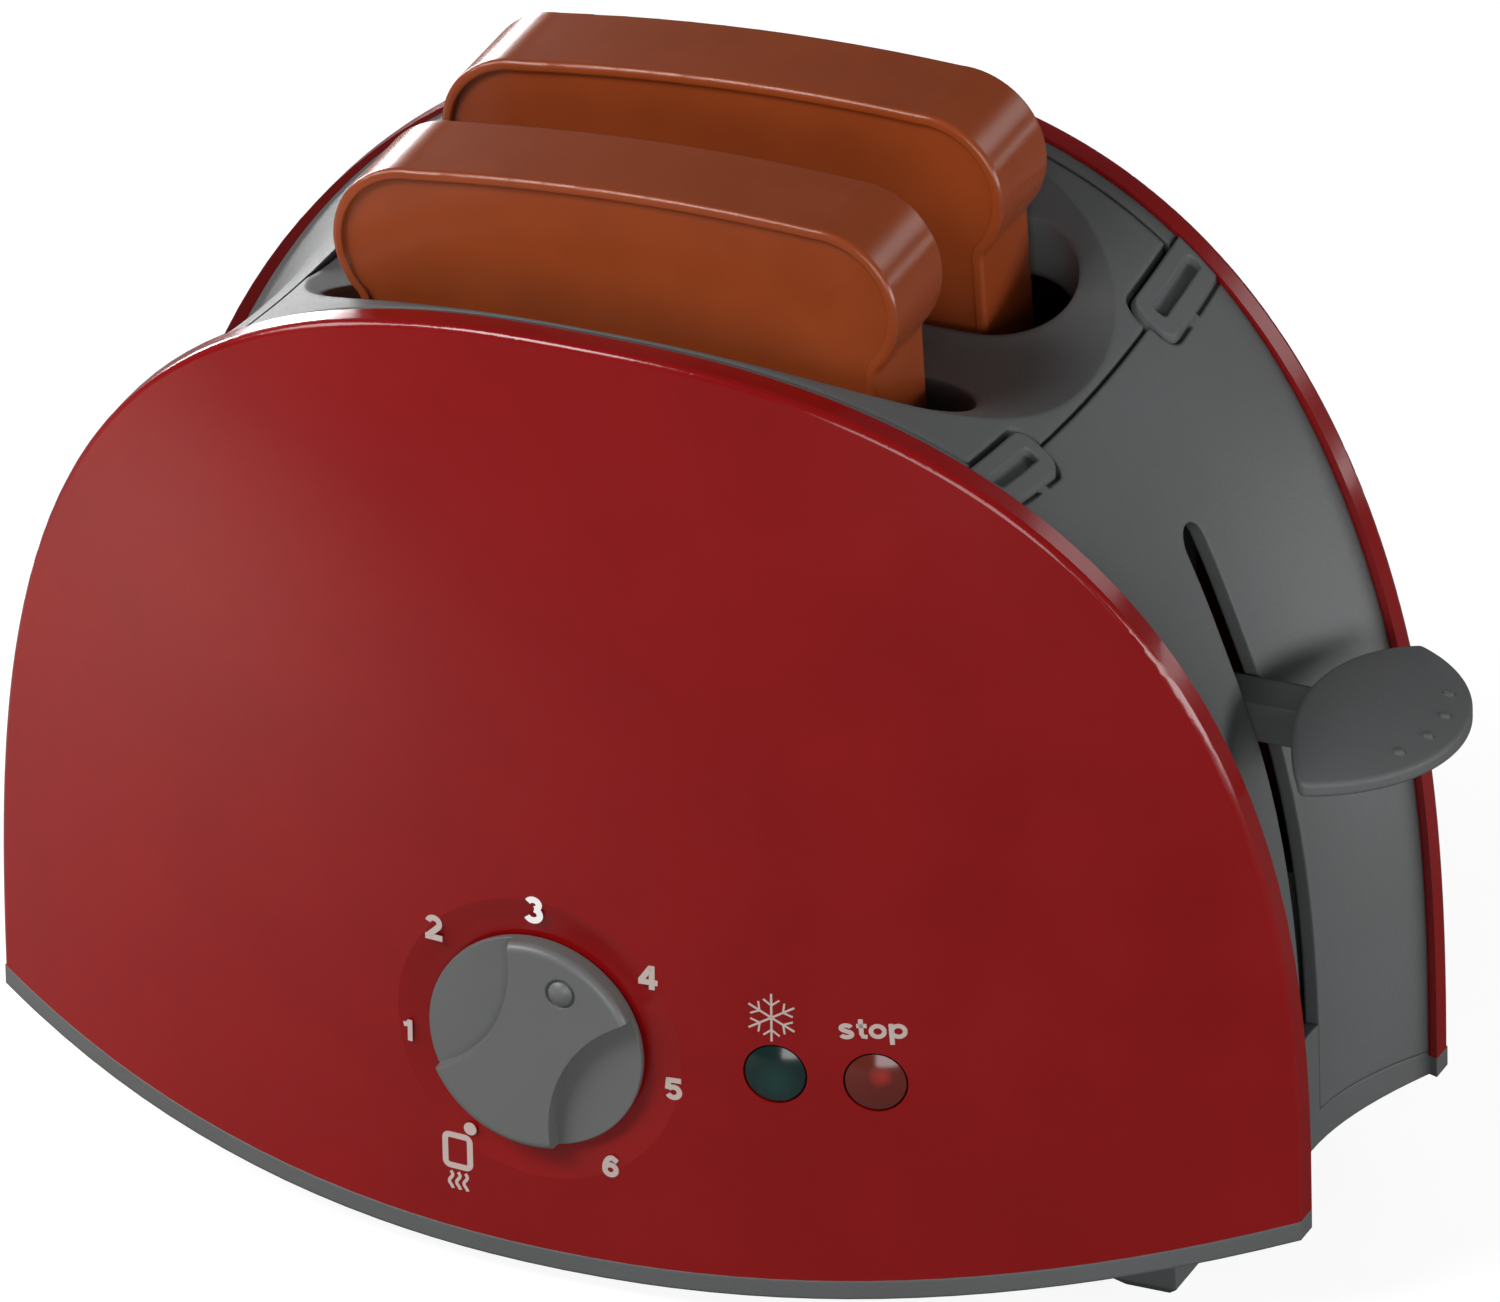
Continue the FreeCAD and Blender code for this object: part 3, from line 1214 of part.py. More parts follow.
# ---------------------------------------------------------------- buttons
def button(x):
    """Domed cap with a flange behind the panel and a stem through the bracket."""
    centre, inward = button_frame(x)
    outer = centre - inward * BUTTON_PROUD
    ball = (BUTTON_RADIUS ** 2 + BUTTON_DOME ** 2) / (2 * BUTTON_DOME)
    flange_at = PANEL_WALL + BUTTON_REST_GAP + 0.6
    cap = rod(outer, inward, BUTTON_RADIUS, BUTTON_PROUD + flange_at + 0.2)
    cap = cap.common(Part.makeSphere(ball, outer + inward * ball))
    flange = rod(centre + inward * flange_at, inward, BUTTON_FLANGE, BUTTON_FLANGE_WALL)
    stem_end = (-STEM_BACK - centre.y) / inward.y
    stem = rod(centre + inward * flange_at, inward, STEM_RADIUS, stem_end - flange_at)
    return fuse(cap, flange, stem)


def button_spring(x):
    centre, inward = button_frame(x)
    start, length = button_spring_span(centre, inward)
    return coil(
        centre + inward * start, inward, BUTTON_SPRING_RADIUS, BUTTON_SPRING_WIRE,
        BUTTON_SPRING_TURNS, length)


def button_spring_span(centre, inward):
    """Where a button spring starts behind the panel, and its length."""
    flange_at = PANEL_WALL + BUTTON_REST_GAP + 0.6
    start = flange_at + BUTTON_FLANGE_WALL + BUTTON_SPRING_WIRE + 0.05
    to_plate = (-BRACKET_Y - centre.y) / inward.y
    end = to_plate - BRACKET_BOSS_HALF - BUTTON_SPRING_WIRE - 0.05
    return start, end - start


def button_bracket():
    """Plate behind the panel that guides both stems."""
    plate = box(
        BRACKET_LEFT, BRACKET_RIGHT, -BRACKET_Y - BRACKET_WALL / 2, -BRACKET_Y + BRACKET_WALL / 2,
        BUTTON_Z - BRACKET_HEIGHT / 2, BUTTON_Z + BRACKET_HEIGHT / 2)
    edges = [edge for edge in plate.Edges if edge.BoundBox.YLength > BRACKET_WALL * 0.9]
    bracket = plate.makeFillet(3.0, edges)
    for x in (DEFROST_X, STOP_X):
        centre, inward = button_frame(x)
        to_plate = (-BRACKET_Y - centre.y) / inward.y
        start = centre + inward * (to_plate - BRACKET_BOSS_HALF)
        bracket = bracket.fuse(rod(start, inward, BRACKET_BOSS, 2 * BRACKET_BOSS_HALF))
    for x in (DEFROST_X, STOP_X):
        centre, inward = button_frame(x)
        bracket = bracket.cut(rod(centre, inward, STEM_RADIUS + STEM_GAP, BODY_LENGTH / 4))
    for seat in bracket_screw_seats():
        bracket = bracket.cut(pilot(seat, Vector(0, -1, 0), BRACKET_WALL))
    return bracket.removeSplitter()


def bracket_screws():
    return Part.makeCompound([
        screw(seat, Vector(0, -1, 0), BRACKET_SCREW_LENGTH) for seat in bracket_screw_seats()])


# ---------------------------------------------------------------- latch
def latch_ear_places():
    """Left faces of the two ears that hold the latch pin."""
    return [LATCH_LEFT - LATCH_EAR_GAP - LATCH_EAR_WALL, LATCH_RIGHT + LATCH_EAR_GAP]


def latch_pin_start():
    return Vector(latch_ear_places()[0], -LATCH_Y, LATCH_Z)


def latch_pin_length():
    return latch_ear_places()[1] + LATCH_EAR_WALL - latch_ear_places()[0]


def latch_pin():
    return rod(latch_pin_start(), Vector(1, 0, 0), LATCH_PIN_RADIUS, latch_pin_length())


def latch():
    """Rocking catch: a hooked nose over the slider and a tail at the stop button."""
    hub = rod(
        Vector(LATCH_LEFT, -LATCH_Y, LATCH_Z), Vector(1, 0, 0), LATCH_HUB, LATCH_RIGHT - LATCH_LEFT)
    nose_tip = -SLIDER_WIDTH / 2 - LATCH_NOSE_CLEAR
    upright = box(
        LATCH_RIGHT - LATCH_NOSE_WIDTH, LATCH_RIGHT, -LATCH_Y - LATCH_WALL / 2,
        -LATCH_Y + LATCH_WALL / 2, LATCH_Z, LATCH_NOSE_Z + LATCH_NOSE_HEIGHT)
    nose = box(
        LATCH_RIGHT - LATCH_NOSE_WIDTH, LATCH_RIGHT, -LATCH_Y, nose_tip,
        LATCH_NOSE_Z, LATCH_NOSE_Z + LATCH_NOSE_HEIGHT)
    tail = box(
        LATCH_LEFT, LATCH_LEFT + LATCH_ARM_WIDTH, -LATCH_Y - LATCH_WALL / 2,
        -LATCH_Y + LATCH_WALL / 2, LATCH_Z - LATCH_ARM_DROP, LATCH_Z)
    rocker = fuse(hub, upright, nose, tail)
    bore = rod(
        Vector(LATCH_LEFT - 1, -LATCH_Y, LATCH_Z), Vector(1, 0, 0),
        LATCH_PIN_RADIUS + LATCH_PIN_GAP, LATCH_RIGHT - LATCH_LEFT + 2)
    return rocker.cut(bore)


# ---------------------------------------------------------------- screws
def base_screws():
    screws = []
    for side_x in SIDES:
        for side_y in SIDES:
            seat = Vector(side_x * BASE_SCREW_X, side_y * BASE_SCREW_Y, base_screw_seat_z())
            length = BASE_SCREW_LENGTH + BASE_POST_FOOT - seat.z
            screws.append(screw(seat, Vector(0, 0, 1), length))
    return Part.makeCompound(screws)


def panel_screws(side_y):
    return Part.makeCompound([
        screw(seat, Vector(0, side_y, 0), PANEL_SCREW_LENGTH) for seat in panel_screw_seats(side_y)])


def cover_screws():
    screws = []
    for side_x in SIDES:
        seat = Vector(side_x * COVER_SCREW_X, 0, COVER_EAR_TOP - EAR_WALL)
        screws.append(screw(seat, Vector(0, 0, 1), COVER_SCREW_LENGTH))
    return Part.makeCompound(screws)


# ---------------------------------------------------------------- write the pieces
PIECES = {
    "front_panel": front_panel,
    "rear_panel": rear_panel,
    "body_shell": body_shell,
    "top_cover": top_cover,
    "base_tray": base_tray,
    "guide_rod_left": guide_rod_left,
    "guide_rods_right": guide_rods_right,
    "carriage": carriage,
    "lever_paddle": lever_paddle,
    "lift_spring": lift_spring,
    "toast_front": lambda: toast(-1, TOAST_LEAN_FRONT),
    "toast_rear": lambda: toast(1, TOAST_LEAN_REAR),
    "knob": knob,
    "click_wheel": click_wheel,
    "knob_screw": knob_screw,
    "click_spring": click_spring,
    "click_screw": click_screw,
    "defrost_button": lambda: button(DEFROST_X),
    "stop_button": lambda: button(STOP_X),
    "defrost_spring": lambda: button_spring(DEFROST_X),
    "stop_spring": lambda: button_spring(STOP_X),
    "button_bracket": button_bracket,
    "bracket_screws": bracket_screws,
    "latch": latch,
    "latch_pin": latch_pin,
    "base_screws": base_screws,
    "front_panel_screws": lambda: panel_screws(-1),
    "rear_panel_screws": lambda: panel_screws(1),
    "cover_screws": cover_screws,
}

os.makedirs("parts", exist_ok=True)
for name, make in PIECES.items():
    shape = make()
    shape.translate(OUTLINE_MIDDLE * -1)
    shape.exportStep("parts/" + name + ".step")
    size = shape.BoundBox
    print(
        "%-20s solids %d  valid %s  volume %9.1f  X %.1f..%.1f  Y %.1f..%.1f  Z %.1f..%.1f" % (
            name, len(shape.Solids), shape.isValid(), shape.Volume,
            size.XMin, size.XMax, size.YMin, size.YMax, size.ZMin, size.ZMax))
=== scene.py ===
import json
import math

import bmesh
import bpy
from mathutils import Matrix, Vector


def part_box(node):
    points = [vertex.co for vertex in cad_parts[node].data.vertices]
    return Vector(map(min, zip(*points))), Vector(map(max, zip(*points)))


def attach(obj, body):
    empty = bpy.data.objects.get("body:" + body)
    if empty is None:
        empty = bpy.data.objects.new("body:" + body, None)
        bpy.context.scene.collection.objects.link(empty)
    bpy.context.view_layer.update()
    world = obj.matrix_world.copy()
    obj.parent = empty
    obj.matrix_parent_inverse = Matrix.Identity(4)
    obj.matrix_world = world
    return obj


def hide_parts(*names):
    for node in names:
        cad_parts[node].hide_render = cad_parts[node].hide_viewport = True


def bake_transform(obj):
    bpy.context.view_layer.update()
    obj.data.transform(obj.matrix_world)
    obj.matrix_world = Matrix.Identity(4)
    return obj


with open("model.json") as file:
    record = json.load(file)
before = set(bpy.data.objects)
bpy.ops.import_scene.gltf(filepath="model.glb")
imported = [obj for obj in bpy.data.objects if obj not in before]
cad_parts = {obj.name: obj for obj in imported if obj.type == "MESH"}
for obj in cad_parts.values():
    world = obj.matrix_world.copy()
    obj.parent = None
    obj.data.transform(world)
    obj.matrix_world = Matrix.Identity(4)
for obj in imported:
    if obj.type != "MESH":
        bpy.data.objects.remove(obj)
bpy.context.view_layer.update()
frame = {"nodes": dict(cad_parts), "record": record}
nodes = frame["nodes"]
MM = 0.001

# The toaster's middle planes cross the ground here, in the row frame, in mm.
MIDDLE_X = -8.0
MIDDLE_Y = 2.2

# Bowed face of the front panel, in mm about the middle planes.
HALF_LENGTH = 120.0
CORNER_HEIGHT = 19.5
ARCH_HEIGHT = 154.9
END_HALF_WIDTH = 32.5
BOW = 35.5
BOW_POWER = 2.16
LEAN = 11.2
LEAN_EASE = 1.65
LEAN_POWER = 2.7

# Middles of the two buttons, in mm about the middle planes, and how far their lit spots
# lie in front of the panel.
DEFROST_X = 38.3
STOP_X = 55.1
BUTTON_Z = 47.8
BUTTON_OUT = 2.0


def panel_y(x, z):
    """Distance from the middle plane to the front panel's face, in mm."""
    along = abs(x) / HALF_LENGTH
    up = max(z - CORNER_HEIGHT, 0.0) / ARCH_HEIGHT
    lean = (LEAN - LEAN_EASE * along ** 2) * up ** LEAN_POWER
    return END_HALF_WIDTH + BOW * (1 - along ** BOW_POWER) - lean


def row_point(x, y, z):
    """A point given in mm about the toaster's middle planes, in the row frame in metres."""
    return Vector((x + MIDDLE_X, y + MIDDLE_Y, z)) * MM


def button_spot(x, right, up):
    """A point in a button's face, off its centre by right and up in mm."""
    return row_point(x + right, -panel_y(x, BUTTON_Z) - BUTTON_OUT, BUTTON_Z + up)


# ---------------------------------------------------------------- materials
PLASTIC_IOR = 1.5         # ABS, and near enough for acetal
POLYSTYRENE_IOR = 1.59
INK_IOR = 1.48
EDGE_SAMPLES = 6


def linear(hex_colour):
    """sRGB hex to linear red, green, blue and alpha."""
    channels = []
    for start in (1, 3, 5):
        value = int(hex_colour[start:start + 2], 16) / 255
        channels.append(value / 12.92 if value <= 0.04045 else ((value + 0.055) / 1.055) ** 2.4)
    return (*channels, 1.0)


def add(tree, kind, links=None, values=None, stops=(), **settings):
    """A node with its settings, its inputs' values, its links from other nodes' outputs
    and, for a colour ramp, its two stops as position and hex colour."""
    node = tree.nodes.new(kind)
    for name, value in settings.items():
        setattr(node, name, value)
    for name, value in (values or {}).items():
        node.inputs[name].default_value = value
    for name, source in (links or {}).items():
        tree.links.new(source, node.inputs[name])
    if stops:
        for element, (position, colour) in zip(node.color_ramp.elements, stops):
            element.position = position
            element.color = linear(colour)
    return node


def new_finish(name):
    """An empty material, and the object's own coordinates in metres to drive patterns."""
    finish = bpy.data.materials.new(name)
    finish.use_nodes = True
    tree = finish.node_tree
    tree.nodes.clear()
    place = add(tree, "ShaderNodeTexCoord")
    return finish, tree, place.outputs["Object"]


def polished_red_abs():
    """ABS moulded against polished steel: deep even red under a clear gloss.  The
    surface swims very slightly, 9 mm from crest to crest, and carries a thin haze of
    handling in patches 22 mm across, which softens the edges of reflections."""
    swim_size = 9 * MM
    haze_size = 22 * MM
    finish, tree, place = new_finish("polished_red_abs")
    swim = add(
        tree, "ShaderNodeTexNoise", {"Vector": place}, {"Scale": 1 / swim_size, "Detail": 1.0})
    haze = add(
        tree, "ShaderNodeTexNoise", {"Vector": place}, {"Scale": 1 / haze_size, "Detail": 4.0})
    rough = add(
        tree, "ShaderNodeMapRange", {"Value": haze.outputs["Fac"]},
        {"From Min": 0.35, "From Max": 0.7, "To Min": 0.14, "To Max": 0.21})
    colour = add(
        tree, "ShaderNodeValToRGB", {"Fac": haze.outputs["Fac"]},
        stops=[(0.3, "#80090b"), (0.7, "#860b0d")])
    relief = add(
        tree, "ShaderNodeBump", {"Height": swim.outputs["Fac"]},
        {"Strength": 0.05, "Distance": 0.3 * MM})
    shader = add(
        tree, "ShaderNodeBsdfPrincipled",
        {
            "Base Color": colour.outputs["Color"],
            "Roughness": rough.outputs["Result"],
            "Normal": relief.outputs["Normal"],
        },
        {"IOR": PLASTIC_IOR})
    add(tree, "ShaderNodeOutputMaterial", {"Surface": shader.outputs["BSDF"]})
    return finish


def eroded_plastic(name, dark, light, smooth, rough, grain_depth, edge_radius):
    """Plastic moulded in a spark-eroded tool: an even satin face, its colour clouded over
    30 mm, whose 0.2 mm grain is drawn at 0.6 mm so that it shows.  The roughness runs
    from smooth to rough with the grain; grain depth and edge radius are in mm."""
    grain_size = 0.6 * MM
    cloud_size = 30 * MM
    finish, tree, place = new_finish(name)
    grain = add(
        tree, "ShaderNodeTexNoise", {"Vector": place}, {"Scale": 1 / grain_size, "Detail": 2.0})
    cloud = add(
        tree, "ShaderNodeTexNoise", {"Vector": place}, {"Scale": 1 / cloud_size, "Detail": 2.0})
    colour = add(
        tree, "ShaderNodeValToRGB", {"Fac": cloud.outputs["Fac"]},
        stops=[(0.3, dark), (0.7, light)])
    dull = add(
        tree, "ShaderNodeMapRange", {"Value": grain.outputs["Fac"]},
        {"From Min": 0.3, "From Max": 0.7, "To Min": smooth, "To Max": rough})
    edge = add(
        tree, "ShaderNodeBevel", None, {"Radius": edge_radius * MM}, samples=EDGE_SAMPLES)
    relief = add(
        tree, "ShaderNodeBump",
        {"Height": grain.outputs["Fac"], "Normal": edge.outputs["Normal"]},
        {"Strength": 0.6, "Distance": grain_depth * MM})
    shader = add(
        tree, "ShaderNodeBsdfPrincipled",
        {
            "Base Color": colour.outputs["Color"],
            "Roughness": dull.outputs["Result"],
            "Normal": relief.outputs["Normal"],
        },
        {"IOR": PLASTIC_IOR})
    add(tree, "ShaderNodeOutputMaterial", {"Surface": shader.outputs["BSDF"]})
    return finish


def toasted_brown_abs():
    """Brown ABS with a half-gloss face: warm crust colour, faintly mottled like baked
    bread over 12 mm, with a low 1.5 mm ripple from the mould and softly broken edges."""
    mottle_size = 12 * MM
    ripple_size = 1.5 * MM
    edge_radius = 0.7 * MM
    finish, tree, place = new_finish("toasted_brown_abs")
    mottle = add(
        tree, "ShaderNodeTexNoise", {"Vector": place}, {"Scale": 1 / mottle_size, "Detail": 5.0})
    ripple = add(
        tree, "ShaderNodeTexNoise", {"Vector": place}, {"Scale": 1 / ripple_size, "Detail": 2.0})
    colour = add(
        tree, "ShaderNodeValToRGB", {"Fac": mottle.outputs["Fac"]},
        stops=[(0.3, "#883c1a"), (0.7, "#8f401d")])
    edge = add(tree, "ShaderNodeBevel", None, {"Radius": edge_radius}, samples=EDGE_SAMPLES)
    relief = add(
        tree, "ShaderNodeBump",
        {"Height": ripple.outputs["Fac"], "Normal": edge.outputs["Normal"]},
        {"Strength": 0.15, "Distance": 0.1 * MM})
    shader = add(
        tree, "ShaderNodeBsdfPrincipled",
        {"Base Color": colour.outputs["Color"], "Normal": relief.outputs["Normal"]},
        {"Roughness": 0.22, "IOR": PLASTIC_IOR})
    add(tree, "ShaderNodeOutputMaterial", {"Surface": shader.outputs["BSDF"]})
    return finish


def tinted_polystyrene(name, deep, bright, spot, reach):
    """Polystyrene tinted in the mass and polished outside.  The light that comes back
    through it from moulded facets behind the face is drawn as colour: a bright spot
    with a ragged edge, out to a reach in mm, on the deep tint."""
    cloud_size = 1.6 * MM
    raggedness = 0.9 * MM
    finish, tree, place = new_finish(name)
    apart = add(
        tree, "ShaderNodeVectorMath", {0: place}, {1: spot}, operation="DISTANCE")
    cloud = add(
        tree, "ShaderNodeTexNoise", {"Vector": place}, {"Scale": 1 / cloud_size, "Detail": 2.0})
    ragged = add(
        tree, "ShaderNodeMath", {0: cloud.outputs["Fac"]}, {1: raggedness}, operation="MULTIPLY")
    edge = add(
        tree, "ShaderNodeMath", {0: apart.outputs["Value"], 1: ragged.outputs["Value"]},
        operation="ADD")
    share = add(
        tree, "ShaderNodeMapRange", {"Value": edge.outputs["Value"]}, {"From Max": reach * MM})
    colour = add(
        tree, "ShaderNodeValToRGB", {"Fac": share.outputs["Result"]},
        stops=[(0.25, bright), (0.9, deep)])
    shader = add(
        tree, "ShaderNodeBsdfPrincipled", {"Base Color": colour.outputs["Color"]},
        {"Roughness": 0.16, "IOR": POLYSTYRENE_IOR})
    add(tree, "ShaderNodeOutputMaterial", {"Surface": shader.outputs["BSDF"]})
    return finish


def drawn_steel(name, colour_hex, roughness):
    """Plated steel, drawn or turned: bright, its gloss broken by marks 0.8 mm across."""
    mark_size = 0.8 * MM
    finish, tree, place = new_finish(name)
    marks = add(
        tree, "ShaderNodeTexNoise", {"Vector": place}, {"Scale": 1 / mark_size, "Detail": 2.0})
    rough = add(
        tree, "ShaderNodeMapRange", {"Value": marks.outputs["Fac"]},
        {"To Min": roughness * 0.8, "To Max": roughness * 1.3})
    shader = add(
        tree, "ShaderNodeBsdfPrincipled", {"Roughness": rough.outputs["Result"]},
        {"Base Color": linear(colour_hex), "Metallic": 1.0})
    add(tree, "ShaderNodeOutputMaterial", {"Surface": shader.outputs["BSDF"]})
    return finish


def pad_printing_ink(name, colour_hex):
    """Pad-printed ink: one flat colour, its low gloss slightly uneven over 1 mm."""
    patch_size = 1.0 * MM
    finish, tree, place = new_finish(name)
    patch = add(
        tree, "ShaderNodeTexNoise", {"Vector": place}, {"Scale": 1 / patch_size, "Detail": 2.0})
    rough = add(
        tree, "ShaderNodeMapRange", {"Value": patch.outputs["Fac"]},
        {"To Min": 0.4, "To Max": 0.55})
    shader = add(
        tree, "ShaderNodeBsdfPrincipled", {"Roughness": rough.outputs["Result"]},
        {"Base Color": linear(colour_hex), "IOR": INK_IOR})
    add(tree, "ShaderNodeOutputMaterial", {"Surface": shader.outputs["BSDF"]})
    return finish


RED = polished_red_abs()
GREY = eroded_plastic(
    "eroded_grey_abs", "#575959", "#5b5d5e",
    smooth=0.48, rough=0.6, grain_depth=0.1, edge_radius=0.7)
COVER_GREY = eroded_plastic(
    "eroded_grey_cover_abs", "#575959", "#5b5d5e",
    smooth=0.48, rough=0.6, grain_depth=0.1, edge_radius=1.6)
KNOB_GREY = eroded_plastic(
    "fine_grey_abs", "#626463", "#666867",
    smooth=0.36, rough=0.46, grain_depth=0.03, edge_radius=0.35)
ACETAL = eroded_plastic(
    "natural_acetal", "#d8d6cc", "#dedcd2",
    smooth=0.35, rough=0.45, grain_depth=0.01, edge_radius=0.2)
TOAST = toasted_brown_abs()
TEAL = tinted_polystyrene(
    "teal_polystyrene", deep="#0c2422", bright="#163c38",
    spot=button_spot(DEFROST_X, right=1.0, up=-2.0), reach=6.0)
AMBER = tinted_polystyrene(
    "red_polystyrene", deep="#5e2018", bright="#b3302a",
    spot=button_spot(STOP_X, right=1.6, up=1.8), reach=3.6)
ROD = drawn_steel("drawn_steel", "#b9bbbd", 0.25)
SPRING = drawn_steel("spring_wire", "#a8a9ab", 0.3)
ZINC = drawn_steel("zinc_plated_steel", "#a9a8a0", 0.35)
INK_GREY = pad_printing_ink("silver_ink", "#bfaea8")
INK_WHITE = pad_printing_ink("white_ink", "#f2eeec")

FINISHES = {
    "front_panel": RED,
    "rear_panel": RED,
    "body_shell": GREY,
    "top_cover": COVER_GREY,
    "base_tray": GREY,
    "carriage": GREY,
    "lever_paddle": GREY,
    "knob": KNOB_GREY,
    "button_bracket": GREY,
    "click_wheel": ACETAL,
    "click_spring": ACETAL,
    "latch": ACETAL,
    "toast_front": TOAST,
    "toast_rear": TOAST,
    "defrost_button": TEAL,
    "stop_button": AMBER,
    "guide_rod_left": ROD,
    "guide_rods_right": ROD,
    "latch_pin": ROD,
    "lift_spring": SPRING,
    "defrost_spring": SPRING,
    "stop_spring": SPRING,
    "knob_screw": ZINC,
    "click_screw": ZINC,
    "bracket_screws": ZINC,
    "base_screws": ZINC,
    "front_panel_screws": ZINC,
    "rear_panel_screws": ZINC,
    "cover_screws": ZINC,
}
for node_name, finish in FINISHES.items():
    mesh = nodes[node_name].data
    mesh.materials.clear()
    mesh.materials.append(finish)


def piece_from(shape, name):
    """Turns a bmesh into an object in the scene."""
    mesh = bpy.data.meshes.new(name)
    shape.to_mesh(mesh)
    shape.free()
    piece = bpy.data.objects.new(name, mesh)
    bpy.context.scene.collection.objects.link(piece)
    return piece


# ---------------------------------------------------------------- springs
WIRE_SIDES = 8
STEPS_A_TURN = 24
CLOSED_RISE = 2.1         # of a closed end turn, in wire radii
SEAT_INSET = 1.2          # of a button spring's wire from its seats, in wire radii


def wound_spring(node_name, fixed_end, moving_end, coil_radius, wire_radius, turns):
    """Round wire wound from the seat that stays to the seat that travels, with a closed
    turn at each end and its open turns spaced evenly between them.  Radii in mm."""
    axis = moving_end - fixed_end
    height = axis.length
    axis.normalize()
    side = axis.orthogonal().normalized()
    other = axis.cross(side)
    closed_rise = CLOSED_RISE * wire_radius * MM
    open_rise = (height - 2 * closed_rise) / (turns - 2)
    steps = STEPS_A_TURN * turns
    shape = bmesh.new()
    rings = []
    for step in range(steps + 1):
        turn = turns * step / steps
        opened = min(max(turn - 1, 0), turns - 2)
        rise = closed_rise * (turn - opened) + open_rise * opened
        angle = 2 * math.pi * turn
        out = side * math.cos(angle) + other * math.sin(angle)
        centre = fixed_end + out * coil_radius * MM + axis * rise
        ring = []
        for corner in range(WIRE_SIDES):
            around = 2 * math.pi * corner / WIRE_SIDES
            offset = out * math.cos(around) + axis * math.sin(around)
            ring.append(shape.verts.new(centre + offset * wire_radius * MM))
        rings.append(ring)
    for ring, after in zip(rings, rings[1:]):
        for corner in range(WIRE_SIDES):
            beside = (corner + 1) % WIRE_SIDES
            shape.faces.new((ring[corner], ring[beside], after[beside], after[corner]))
    shape.faces.new(rings[0])
    shape.faces.new(rings[-1])
    bmesh.ops.recalc_face_normals(shape, faces=shape.faces)
    for face in shape.faces:
        face.smooth = True
    piece = piece_from(shape, node_name + "_wire")
    piece.data.materials.append(SPRING)
    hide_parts(node_name)
    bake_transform(piece)


def lift_spring():
    """Upright spring between the cover's ear, which stays, and the carriage."""
    coil_radius = 3.2
    wire_radius = 0.45
    turns = 11
    low, high = (Vector(corner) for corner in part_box("lift_spring"))
    middle = (low + high) / 2
    top = Vector((middle.x, middle.y, high.z - wire_radius * MM))
    foot = Vector((middle.x, middle.y, low.z + wire_radius * MM))
    wound_spring("lift_spring", top, foot, coil_radius, wire_radius, turns)


def button_spring(node_name, joint_name):
    """Short spring that pushes a button out from its boss on the bracket.  It lies along
    the button's joint, and its length comes from the depth of its solid's box."""
    coil_radius = 2.9
    wire_radius = 0.3
    turns = 4
    joints = frame["record"]["behaviour"]["joints"]
    inward = next(Vector(joint["axis"]) for joint in joints if joint["name"] == joint_name)
    low, high = (Vector(corner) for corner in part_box(node_name))
    tilt = math.sqrt(1 - inward.y ** 2)
    length = (high.y - low.y - 2 * (coil_radius + wire_radius) * MM * tilt) / inward.y
    half = inward * (length / 2 - SEAT_INSET * wire_radius * MM)
    middle = (low + high) / 2
    wound_spring(
        node_name, middle + half, middle - half, coil_radius, wire_radius, turns)


lift_spring()
button_spring("defrost_spring", "defrost_press")
button_spring("stop_spring", "stop_press")


# ---------------------------------------------------------------- printing on the front panel
# A sign is drawn in mm in its own XY plane.  Its heights are in thicknesses of ink: its
# face lies at 1, and its root is sunk in the panel.
INK = 0.04                # thickness of printed ink, in mm
INK_FACE = 1
INK_ROOT = -1
BAND_STEP = 0.002         # added to a band's height for each face already drawn


def lay_on_panel(piece, x, z, finish):
    """Wraps a flat sign on the front panel, with its origin at x, z, and inks it."""
    for vertex in piece.data.vertices:
        along = x + vertex.co.x
        up = z + vertex.co.y
        lift = INK * vertex.co.z
        vertex.co = row_point(along, -panel_y(along, up) - lift, up)
    piece.data.materials.append(finish)
    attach(piece, "body")


def stroke(shape, points, width, closed=False):
    """Adds a flat band of constant width along points to a bmesh, in mm.  Each band lies
    a little above the one before, so that no two faces share a plane."""
    count = len(points)
    face_height = INK_FACE + BAND_STEP * len(shape.faces)
    rows = []
    for index, point in enumerate(points):
        before = points[index - 1] if index or closed else None
        after = points[(index + 1) % count] if index < count - 1 or closed else None
        ahead = Vector((0, 0))
        if before is not None:
            ahead += (point - before).normalized()
        if after is not None:
            ahead += (after - point).normalized()
        ahead.normalize()
        side = Vector((-ahead.y, ahead.x)) * width / 2
        corners = []
        for edge in (point + side, point - side):
            corners.append([
                shape.verts.new((edge.x, edge.y, face_height)),
                shape.verts.new((edge.x, edge.y, INK_ROOT))])
        rows.append(corners)
    last = count if closed else count - 1
    for index in range(last):
        (a, a_low), (b, b_low) = rows[index]
        (c, c_low), (d, d_low) = rows[(index + 1) % count]
        shape.faces.new((a, b, d, c))
        shape.faces.new((a_low, c_low, d_low, b_low))
        shape.faces.new((a, c, c_low, a_low))
        shape.faces.new((b, b_low, d_low, d))
    if not closed:
        for (a, a_low), (b, b_low) in (rows[0], rows[-1]):
            shape.faces.new((a, a_low, b_low, b))


def dot(shape, centre, radius):
    """Adds a flat round dot to a bmesh, in mm."""
    sides = 24
    top = []
    bottom = []
    for index in range(sides):
        angle = 2 * math.pi * index / sides
        x = centre.x + radius * math.cos(angle)
        y = centre.y + radius * math.sin(angle)
        top.append(shape.verts.new((x, y, INK_FACE)))
        bottom.append(shape.verts.new((x, y, INK_ROOT)))
    shape.faces.new(top)
    shape.faces.new(reversed(bottom))
    for index in range(sides):
        after = (index + 1) % sides
        shape.faces.new((top[index], bottom[index], bottom[after], top[after]))


